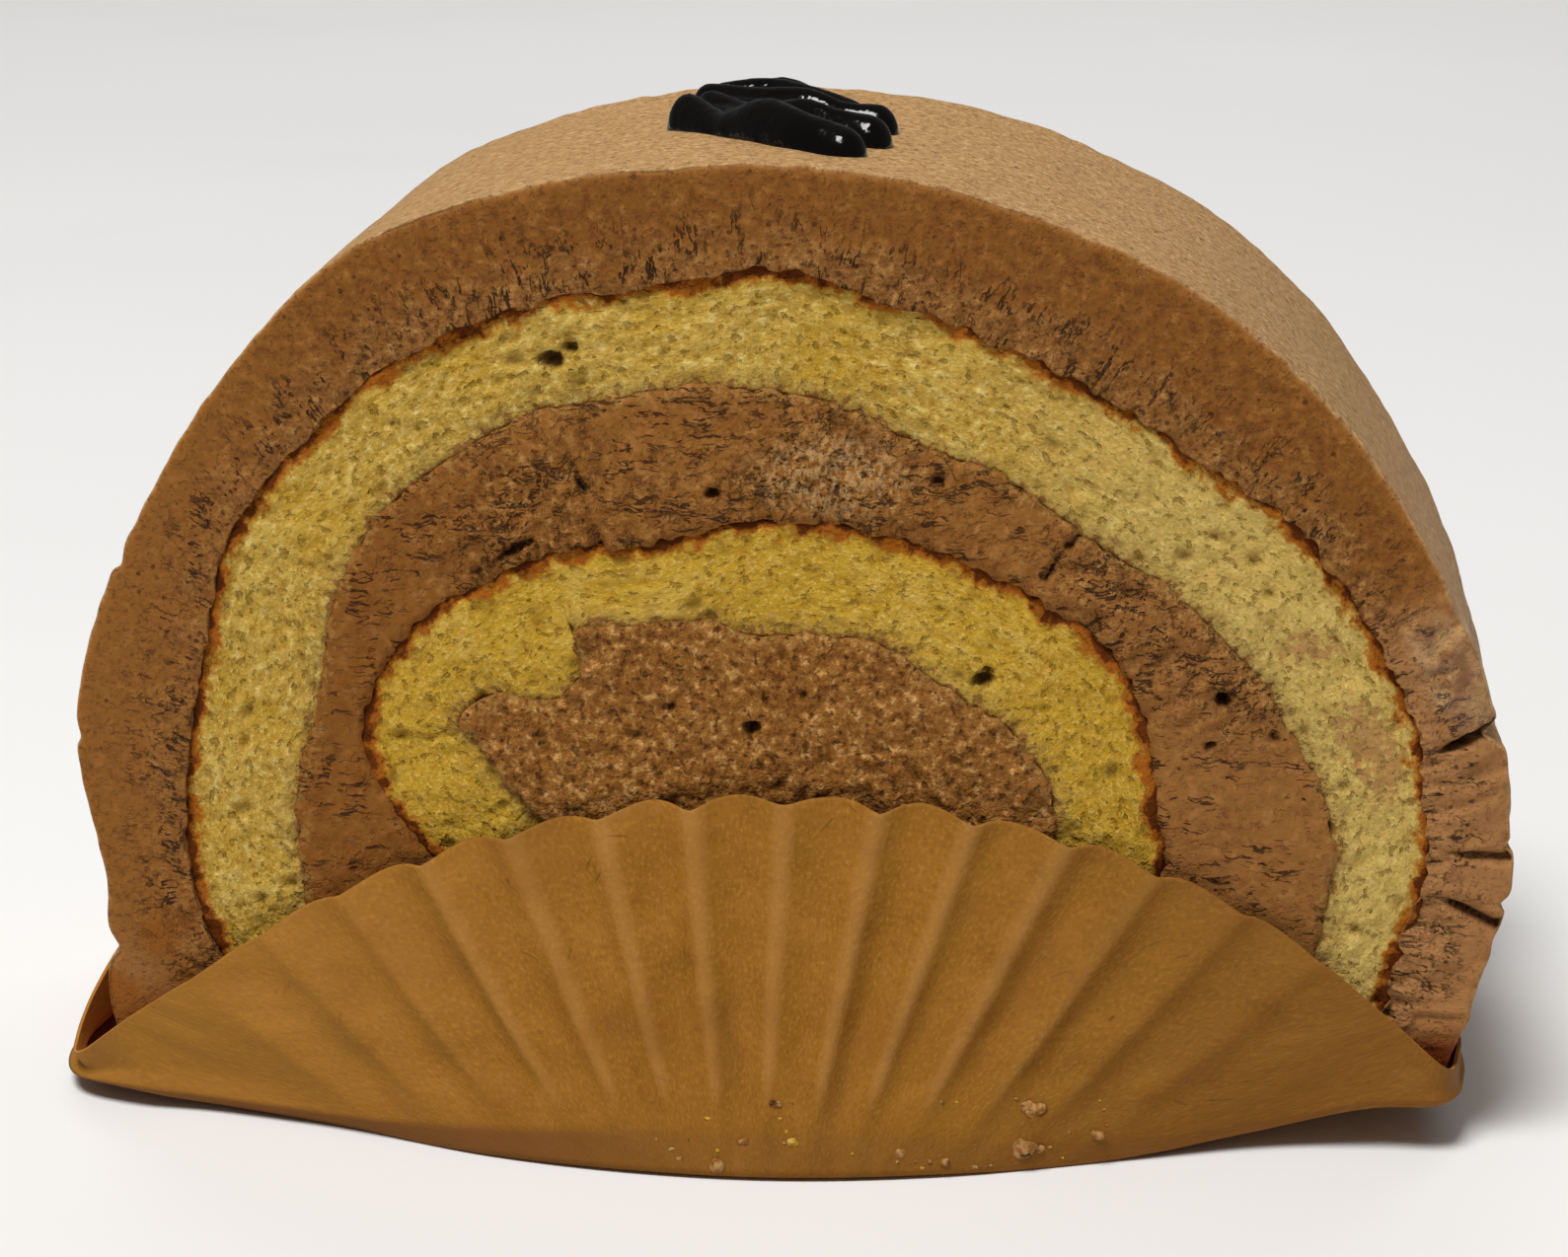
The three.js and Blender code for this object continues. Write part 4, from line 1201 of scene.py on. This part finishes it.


# %% [markdown]
# Chocolate cream is cocoa brown with a trace of pink. Where the knife spread it, it is smooth and
# paler, partly in its own colour and partly as painted sheen, and its lower flanks are painted
# darker as painted shade. Where it was cut, it is deeper in colour, and torn near the crust. There
# its left part is painted paler as painted light, and its rim paler as a painted highlight. Its
# cracks run square to the crust, so they are drawn by distance off it and along it. Cracks,
# hollows, pits, the grain's low parts and the creases of the wet folds are painted dark as painted
# shade. Over these lie dark specks; the cloudy wet patch, smoother with a thin coat, whose pale
# parts are partly painted highlight; the soaked left foot; and syrup at the right foot, darkened
# partly as painted shade of the pocket between paper and cake.

# %% Coat cream
coat_cream, recipe, shader = start_material(
    "coat cream", IOR=1.45, Specular_IOR_Level=0.14, Coat_Roughness=0.25
)
spot = recipe.place_in_mm()
x, height = recipe.part(spot, "X"), recipe.part(spot, "Z")
rolled = recipe.node("SeparateXYZ", {0: recipe.reading("rolled", "Vector")}).outputs
radial = recipe.node("CombineXYZ", {0: rolled["Y"], 1: rolled["X"], 2: rolled["Z"]}).outputs[0]
from_crust, cut = recipe.reading("crust"), recipe.reading("cut")
cut_tone = mottled(recipe, spot, 0.9, (108, 64, 22), (131, 81, 29), (158, 105, 48))
torn_tone = mottled(recipe, spot, 0.7, (106, 62, 24), (142, 94, 42), (180, 132, 74))
# The spread skin is painted paler than the cut, partly its own colour and partly painted sheen, and below 15
# mm it is painted darker as painted shade on the lower flanks.
skin_sheen_shade_tone = mottled(recipe, spot, 0.6, (156, 115, 70), (183, 143, 94), (212, 172, 124))
skin_sheen_shade_tone = recipe.paint(skin_sheen_shade_tone, (recipe.between(height, 15.0, 6.0, 0.0, 0.6), 1, (146, 92, 40)))
unsteady = recipe.drift(spot, 2.6, 3.0, 0.3, 0.7, -1.4, 1.4)
torn = recipe.times(recipe.between(recipe.plus(from_crust, unsteady), 3.2, 0.8), cut)
# The cut is painted paler towards the left end: painted light.
left_painted_light = recipe.times(recipe.between(x, -28.0, -44.0, 0.0, 0.5), cut)
grain = recipe.use(grain_group, Place=spot, Size=0.34, Pits=0.5).outputs
pock = recipe.use(grain_group, Place=spot, Size=0.42, Pits=0.7).outputs["Pit"]
near_crust = recipe.times(recipe.between(from_crust, 5.6, 1.6), cut)
crack = recipe.use(crack_group, Place=radial, Width=0.42, Run=3.6, Amount=near_crust).outputs["Crack"]
specks = recipe.most(
    recipe.use(speck_group, Place=spot, Spacing=3.2, Reach=0.06, Share=0.5).outputs["Speck"],
    recipe.use(speck_group, Place=spot, Spacing=1.0, Reach=0.14, Share=0.3).outputs["Speck"],
)
wet = recipe.reading("wet")
# Cracks, hollows and pits are painted dark: painted shade inside them.
dark = recipe.most(crack, recipe.reading("hollow"), recipe.times(grain["Pit"], recipe.times(torn, 1.4)))
# The wet patch's pale cloudy parts are partly the cream's own colour and partly painted highlight.
cloud_and_highlight = recipe.drift(spot, 1.6, 4.0, 0.35, 0.62)
wet_tone_with_highlights = recipe.mix(cloud_and_highlight, tone(150, 102, 58), tone(222, 174, 114))
border = recipe.plus(height, recipe.drift(spot, 4.0, 3.0, 0.3, 0.7, -3.0, 3.0))
soaked = recipe.times(recipe.between(border, 13.5, 9.0), recipe.between(x, -38.0, -42.0))
colour = recipe.paint(
    skin_sheen_shade_tone,
    (cut, 1, recipe.mix(torn, cut_tone, torn_tone)),
    (left_painted_light, 1, (150, 97, 42)),
    # The cut's rim is painted paler: a painted highlight.
    (recipe.reading("lip"), 0.55, (158, 100, 42)),
    # The grain's low parts are painted darker: painted shade.
    (recipe.between(grain["Height"], 0.5, 0.3, 0.0, 0.3), 1, (84, 50, 20)),
    (recipe.reading("smeared"), 0.65, (176, 126, 78)),
    (wet, 0.8, wet_tone_with_highlights),
    # The creases of the wet folds are painted darker: painted shade.
    (recipe.reading("fold"), 0.7, (100, 60, 30)),
    (dark, 0.88, (46, 22, 9)),
    (specks, 0.7, (62, 34, 18)),
    # Pock marks are painted a little darker: painted shade.
    (pock, 0.2, (104, 64, 30)),
    (soaked, 0.85, (138, 78, 20)),
    # The right foot is painted dark, partly as syrup and partly as painted shade of the pocket there.
    (recipe.reading("syrup_and_pocket_shade"), 0.97, (104, 42, 4)),
)
roughness = recipe.less(recipe.drift(spot, 1.5, 2.0, 0.2, 0.8, 0.52, 0.7), recipe.times(wet, 0.3))
recipe.tree.links.new(recipe.times(wet, 0.4), shader.inputs["Coat Weight"])
broad = recipe.noise(spot, 0.9, detail=4.0, roughness=0.6)
finish_shader(recipe, shader, colour, roughness, [
    (grain["Height"], 0.09),
    (recipe.times(broad, recipe.plus(torn, 0.1)), 0.55),
    (recipe.less(1.0, pock), 0.08),
    (recipe.times(recipe.noise(spot, 0.5, detail=3.0), wet), 0.35),
    (recipe.less(1.0, crack), 0.3),
])
print("material:", coat_cream.name)

# %% [markdown]
# The same cream inside the roll is matt, because it was cut and never spread. It is smooth in places,
# torn and much more broken in tone in others, and loose like crumb in its core. The rough and core
# readings say which is where. Its left side is deeper and warmer in tone, and its right side is
# painted paler as painted light. Its cracks, pits and hollows are painted dark as painted shade.

# %% Filling cream
filling_cream, recipe, shader = start_material("filling cream", IOR=1.45, Specular_IOR_Level=0.13)
spot = recipe.place_in_mm()
x = recipe.part(spot, "X")
core, rough = recipe.reading("core"), recipe.reading("rough")
smooth_tone = mottled(recipe, spot, 1.0, (122, 75, 27), (141, 90, 36), (168, 115, 60))
rough_tone = mottled(recipe, spot, 0.65, (106, 62, 20), (149, 97, 40), (216, 164, 96))
plain_part = recipe.less(1.0, core)
crack = recipe.use(crack_group, Place=spot, Width=0.36, Run=6.5, Amount=plain_part).outputs["Crack"]
tilt = {"Vector": spot, "Angle": math.radians(35)}
tilted = recipe.node("VectorRotate", tilt, rotation_type="Y_AXIS").outputs[0]
torn_part = recipe.times(rough, 1.2)
torn_open = recipe.use(crack_group, Place=tilted, Width=0.42, Run=2.0, Amount=torn_part).outputs["Crack"]
crack = recipe.most(crack, torn_open)
grain = recipe.use(grain_group, Place=spot, Size=0.42, Pits=0.8).outputs
# Cracks, pits and hollows are painted dark: painted shade.
dark = recipe.most(crack, recipe.times(grain["Pit"], recipe.most(core, rough)), recipe.reading("hollow"))
crumbly = recipe.drift(recipe.stretch(spot, (1.3, 1.0, 0.9)), 0.5, 4.0, 0.42, 0.62)
crumb_part = recipe.times(recipe.between(recipe.reading("crumbs"), 0.25, 0.9), crumbly)
shift = recipe.drift(spot, 0.4, 3.0, 0.3, 0.7, -0.5, 0.5)
yellow = recipe.between(recipe.plus(recipe.reading("cream_edge"), shift), 0.4, 0.0, 0.0, 0.4)
colour = recipe.paint(
    smooth_tone,
    (recipe.most(recipe.times(rough, 0.7), core), 1, rough_tone),
    (recipe.between(x, -12.0, -30.0, 0.0, 0.35), 1, (118, 66, 16)),
    # The right side is painted paler: painted light.
    (recipe.between(x, 8.0, 32.0, 0.0, 0.3), 1, (162, 114, 66)),
    (dark, 0.85, (48, 22, 8)),
    (crumb_part, 0.6, (212, 172, 116)),
    (yellow, 1, (170, 134, 70)),
)
lumpy = recipe.noise(spot, 0.7, detail=4.0, roughness=0.6)
fibres = recipe.noise(recipe.stretch(spot, (2.6, 1.0, 0.6)), 0.7, detail=3.0)
uneven_part = recipe.between(recipe.most(rough, core), 0.0, 1.0, 0.15, 1.0)
finish_shader(recipe, shader, colour, recipe.drift(spot, 1.1, 2.0, 0.2, 0.8, 0.6, 0.8), [
    (grain["Height"], 0.1),
    (recipe.times(lumpy, uneven_part), 0.6),
    (recipe.times(fibres, rough), 0.2),
    (recipe.less(1.0, crack), 0.25),
])
print("material:", filling_cream.name)

# %% [markdown]
# Sponge is pale yellow at its cut. Its pores and holes are painted browner and darker, which is
# painted shade, and its raised crumb and the peaks of its fine grain are painted paler, which is
# painted highlight. Its browned side is a thin line that wanders between dark brown and orange,
# with a toasted blush under it, and on its other side the cream has soaked in a little. The crust
# and cream readings are distances in millimetres, so adding noise to the distance makes those
# borders ragged. The inner turn is more golden, and the loose outer end at the right is paler,
# with cream smeared over it.

# %% Sponge crumb
sponge_crumb, recipe, shader = start_material("sponge crumb", IOR=1.4, Specular_IOR_Level=0.1)
sheet_length = sheet_walk[-1]
place = recipe.reading("rolled", "Vector")
along = recipe.part(place, "X")
drawn = recipe.stretch(place, (0.75, 1.05, 1.0))
flaky = mottled(recipe, drawn, 0.75, (156, 118, 38), (190, 153, 65), (230, 203, 124))
inner_turn = recipe.between(along, 0.5 * sheet_length, 0.4 * sheet_length, 0.0, 0.72)
golden = recipe.most(recipe.drift(place, 9.0, 2.0, 0.45, 0.68, 0.0, 0.5), inner_turn)
pale_end = recipe.between(along, 0.8 * sheet_length, 0.88 * sheet_length, 0.0, 0.55)
fine = recipe.use(grain_group, Place=drawn, Size=0.55, Pits=0.6).outputs
finer = recipe.use(grain_group, Place=drawn, Size=0.3, Pits=0.4).outputs
deep = recipe.most(recipe.times(fine["Pit"], 1.3), finer["Pit"], recipe.reading("hollow"))
black = recipe.most(recipe.times(recipe.drift(drawn, 0.6, 2.0, 0.7, 0.77), 0.5), recipe.reading("hole"))
wander = recipe.drift(place, 0.8, 3.0, 0.3, 0.7, -0.8, 0.8)
beside = recipe.plus(recipe.reading("cream_edge"), wander)
smeared = recipe.between(recipe.plus(recipe.reading("smear"), recipe.times(wander, 0.6)), 0.35, 0.8)
jagged = recipe.noise(place, 0.9, detail=4.0, roughness=0.65)
ragged = recipe.between(jagged, 0.2, 0.8, -0.45, 0.45)
swell = recipe.drift(place, 2.2, 3.0, 0.3, 0.7, -0.45, 0.45)
crust = recipe.plus(recipe.reading("crust"), recipe.plus(ragged, swell))
stain = recipe.drift(place, 1.5, 3.0, 0.5, 0.6, 0.0, 0.75)
burnt = recipe.drift(place, 1.9, 3.0, 0.35, 0.65, -0.3, 0.35)
char = recipe.between(recipe.plus(crust, burnt), 0.3, 0.75)
colour = recipe.paint(
    flaky,
    (golden, 1, (192, 149, 36)),
    # Raised crumb is painted paler: a painted highlight.
    (recipe.reading("raised"), 0.5, (226, 196, 104)),
    (pale_end, 1, (206, 178, 106)),
    # The peaks of the fine grain are painted paler: a painted highlight.
    (recipe.between(finer["Height"], 0.52, 0.66, 0.0, 0.5), 1, (234, 208, 122)),
    # The pores are painted darker and browner: painted shade.
    (deep, 0.78, (134, 97, 26)),
    # Dark specks, and the holes painted dark as painted shade.
    (black, 0.85, (84, 56, 20)),
    (recipe.between(beside, 1.9, 0.3, 0.0, 0.5), 1, (154, 122, 64)),
    (recipe.between(beside, 0.4, 0.0, 0.0, 0.85), 1, (138, 92, 48)),
    (smeared, 0.75, (168, 122, 74)),
    (recipe.times(recipe.between(crust, 2.4, 0.9), stain), 1, (136, 98, 30)),
    (recipe.between(crust, 1.5, 0.6, 0.0, 0.6), 1, (196, 138, 40)),
    (recipe.between(crust, 1.35, 0.7), 1, recipe.mix(char, tone(96, 46, 12), tone(160, 90, 24))),
)
finish_shader(recipe, shader, colour, recipe.between(fine["Height"], 0.0, 1.0, 0.95, 0.8), [
    (finer["Height"], 0.1),
    (fine["Height"], 0.26),
])
print("material:", sponge_crumb.name)

# %% [markdown]
# Kraft paper is brown wood pulp: fibres that lie every way, darker and paler than the rest, with
# short dark hairs and a few flecks. The ridges of its pleats are painted paler as a painted
# highlight. It is paler at the left and darker at the right, and darker low down and in patches
# where butter has soaked in, where it also shines a little. Just above the fold, where the bulge
# faces down, it is painted darker as painted shade. Its inner skin is painted warmer and, towards
# the free edge, paler, partly as soaked grease and partly as painted light on a skin turned from
# the lamp.

# %% Kraft paper
kraft_paper, recipe, shader = start_material("kraft paper", IOR=1.4, Specular_IOR_Level=0.2)
HAIR_SLANTS = (25, -50)
place = recipe.reading("rolled", "Vector")
up = recipe.reading("up")
side = recipe.part(recipe.place_in_mm(), "X")
pulp = mottled(recipe, place, 4.0, (133, 86, 23), (146, 97, 28), (159, 108, 38))
fibres = recipe.noise(recipe.stretch(place, (1.2, 0.95, 1.0)), 0.38, detail=4.0, roughness=0.65)
hairs = []
for slant in HAIR_SLANTS:
    turned = recipe.node("VectorRotate", {"Vector": place, "Angle": math.radians(slant)}).outputs[0]
    long_way = recipe.stretch(turned, (0.2, 1.6, 1.0))
    hair = recipe.use(speck_group, Place=long_way, Spacing=1.4, Reach=0.09, Share=0.3)
    hairs.append((hair.outputs["Speck"], 0.45, (92, 54, 18)))
long_way = recipe.stretch(place, (1.0, 0.5, 1.0))
flecks = recipe.use(speck_group, Place=long_way, Spacing=4.0, Reach=0.035, Share=0.35).outputs["Speck"]
grease = recipe.drift(place, 7.0, 2.0, 0.5, 0.7, 0.0, 0.35)
# Just above the fold, where the bulge faces down, the paper is painted darker: painted shade.
under = recipe.times(recipe.between(up, 0.15, 0.1), recipe.between(side, -2.0, -16.0, 0.2, 0.8))
# The inner skin is painted warmer and paler towards the free edge: partly soaked grease, partly painted
# light on a skin turned from the lamp.
inner_tone = recipe.mix(recipe.between(up, 0.02, 0.3), tone(150, 96, 44), tone(204, 134, 62))
colour = recipe.paint(
    pulp,
    (recipe.between(fibres, 0.5, 0.68, 0.0, 0.5), 1, (178, 127, 54)),
    (recipe.between(fibres, 0.47, 0.3, 0.0, 0.45), 1, (110, 68, 20)),
    *hairs,
    # The pleat ridges are painted paler: a painted highlight.
    (recipe.between(recipe.reading("pleat_ridge_highlight"), 0.45, 0.82, 0.0, 0.4), 1, (178, 128, 68)),
    (flecks, 0.6, (82, 46, 16)),
    (recipe.between(side, -8.0, -40.0, 0.0, 0.45), 1, (168, 117, 50)),
    (recipe.between(side, 6.0, 40.0, 0.0, 0.4), 1, (116, 74, 32)),
    (under, 1, (110, 70, 36)),
    (recipe.most(grease, recipe.between(up, 0.35, 0.0, 0.0, 0.3)), 1, (132, 82, 26)),
    (recipe.reading("inside"), 0.7, inner_tone),
)
finish_shader(recipe, shader, colour, recipe.between(grease, 0.0, 0.35, 0.8, 0.6), [
    (fibres, 0.07),
    (recipe.noise(place, 2.6, detail=2.0), 0.1),
])
print("material:", kraft_paper.name)

# %% [markdown]
# Dark chocolate glaze sets with a mirror skin. It is nearly black, and what shows of it is the light
# it reflects, so its roughness is very low, with faint clouding where it dried unevenly.

# %% Dark chocolate
dark_chocolate, recipe, shader = start_material("dark chocolate", IOR=1.5, Specular_IOR_Level=0.34)
spot = recipe.place_in_mm()
colour = mottled(recipe, spot, 3.0, (3, 2, 2), (5, 3, 2), (9, 6, 4))
finish_shader(recipe, shader, colour, recipe.drift(spot, 2.0, 3.0, 0.3, 0.7, 0.06, 0.16), [
    (recipe.noise(spot, 1.1, detail=2.0), 0.1),
])
print("material:", dark_chocolate.name)

# %% [markdown]
# The finished pieces now take their materials and stand in for the plain solids, which stay in the
# frame for weight and touch but are no longer shown. All of the cake is one body. The crumbs are too
# small for solids of their own, so they ride with the body and replace nothing.

# %% Dress the frame
DRESSED = [
    (coat, coat_cream, "cream_coat", "coat_cream"),
    (sponge, sponge_crumb, "sponge_roll", "sponge"),
    (filling, filling_cream, "cream_filling", "filling_cream"),
    (paper, kraft_paper, "paper_case", "kraft_paper"),
    (chocolate, dark_chocolate, "chocolate_topping", "dark_chocolate"),
]
for piece, material, node, slot in DRESSED:
    piece.data.materials.clear()
    piece.data.materials.append(material)
    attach(piece, "root")
    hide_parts(node)
    print(piece.name, "stands for", node)
for piece, material, slot in ((dabs, filling_cream, "filling_cream"), (crumbs, sponge_crumb, "sponge")):
    piece.data.materials.append(material)
    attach(piece, "root")

# %% [markdown]
# The cake is shown on a plain pale floor. A broad soft light hangs over it, a little to the left and
# in front, so that it grazes the cut face and every pore casts a small shadow. A second light only
# brightens the backdrop, and is left out of reflections. The room is dim, white and even.

# %% Floor and light
FLOOR_REACH = 4.0
FLOOR_CORNERS = ((-1, -1), (1, -1), (1, 1), (-1, 1))
floor_mesh = bpy.data.meshes.new("pale_floor")
floor_mesh.from_pydata([(x, y, 0) for x, y in FLOOR_CORNERS], [], [(0, 1, 2, 3)])
floor_mesh.transform(Matrix.Scale(FLOOR_REACH, 4))
floor = bpy.data.objects.new("pale_floor", floor_mesh)
bpy.context.scene.collection.objects.link(floor)
floor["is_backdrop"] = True
floor_paint, recipe, shader = start_material("pale floor")
spot = recipe.node("TexCoord").outputs["Object"]
pale = mottled(recipe, spot, 0.4, (236, 235, 233), (240, 239, 237), (243, 242, 240))
dull = recipe.drift(spot, 0.3, 2.0, 0.3, 0.7, 0.7, 0.8)
finish_shader(recipe, shader, pale, dull, [(recipe.noise(spot, 0.002), 0.01)])
floor_mesh.materials.append(floor_paint)


def soft_light(name, location, target, size, power, mirrored=True):
    data = bpy.data.lights.new(name, "AREA")
    data.shape = "RECTANGLE"
    data.size, data.size_y = size
    data.energy = power
    lamp = bpy.data.objects.new(name, data)
    lamp.visible_glossy = mirrored
    lamp.location = location
    lamp.rotation_euler = (Vector(target) - Vector(location)).to_track_quat("-Z", "Y").to_euler()
    bpy.context.scene.collection.objects.link(lamp)
    print(name, "gives", power, "W")


soft_light("overhead", (-0.17, -0.41, 0.97), (0, 0, 0.03), (0.4, 0.4), 10.6)
soft_light("backdrop", (0.0, 0.9, 0.9), (0, 0.75, 0), (1.6, 0.6), 6.0, mirrored=False)
world = bpy.data.worlds.new("white room")
world.use_nodes = True
world.node_tree.nodes["Background"].inputs["Color"].default_value = (1, 1, 1, 1)
world.node_tree.nodes["Background"].inputs["Strength"].default_value = 0.12
bpy.context.scene.world = world
bpy.context.scene.view_settings.view_transform = "Standard"

# %% [markdown]
# The camera stands in front of the cut face, a little to the right, and looks down on it by about
# sixteen degrees. It is far enough away that the slice's depth is foreshortened as the eye sees it.

# %% Camera
CAMERA_PLACE = Vector((24.16, -273.31, 108.9)) + Vector(CAKE_SHIFT)
CAMERA_DOWN = 15.773
CAMERA_TURN = 5.408
FOCAL_PIXELS = 3919.1
FRAME_WIDTH_PIXELS = 1589
SENSOR = 36.0

camera_data = bpy.data.cameras.new("camera")
camera_data.sensor_width = SENSOR
camera_data.lens = FOCAL_PIXELS * SENSOR / FRAME_WIDTH_PIXELS
camera_data.clip_start, camera_data.clip_end = 0.01, 50
camera = bpy.data.objects.new("camera", camera_data)
camera.location = CAMERA_PLACE * MM
camera.rotation_euler = (math.radians(90 - CAMERA_DOWN), 0, math.radians(CAMERA_TURN))
bpy.context.scene.collection.objects.link(camera)
bpy.context.scene.camera = camera
print("lens", round(camera_data.lens, 2), "mm")

# %% [markdown]
# Last, the box round the pieces is written down beside the box round the plain solids. The two should
# agree to about a millimetre, because the pieces stand exactly where the solids are.

# %% Sizes and the end
visual_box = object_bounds()
for name, box in (("solids", cad_box), ("pieces", visual_box)):
    print(name, [[round(value / MM, 2) for value in corner] for corner in box])
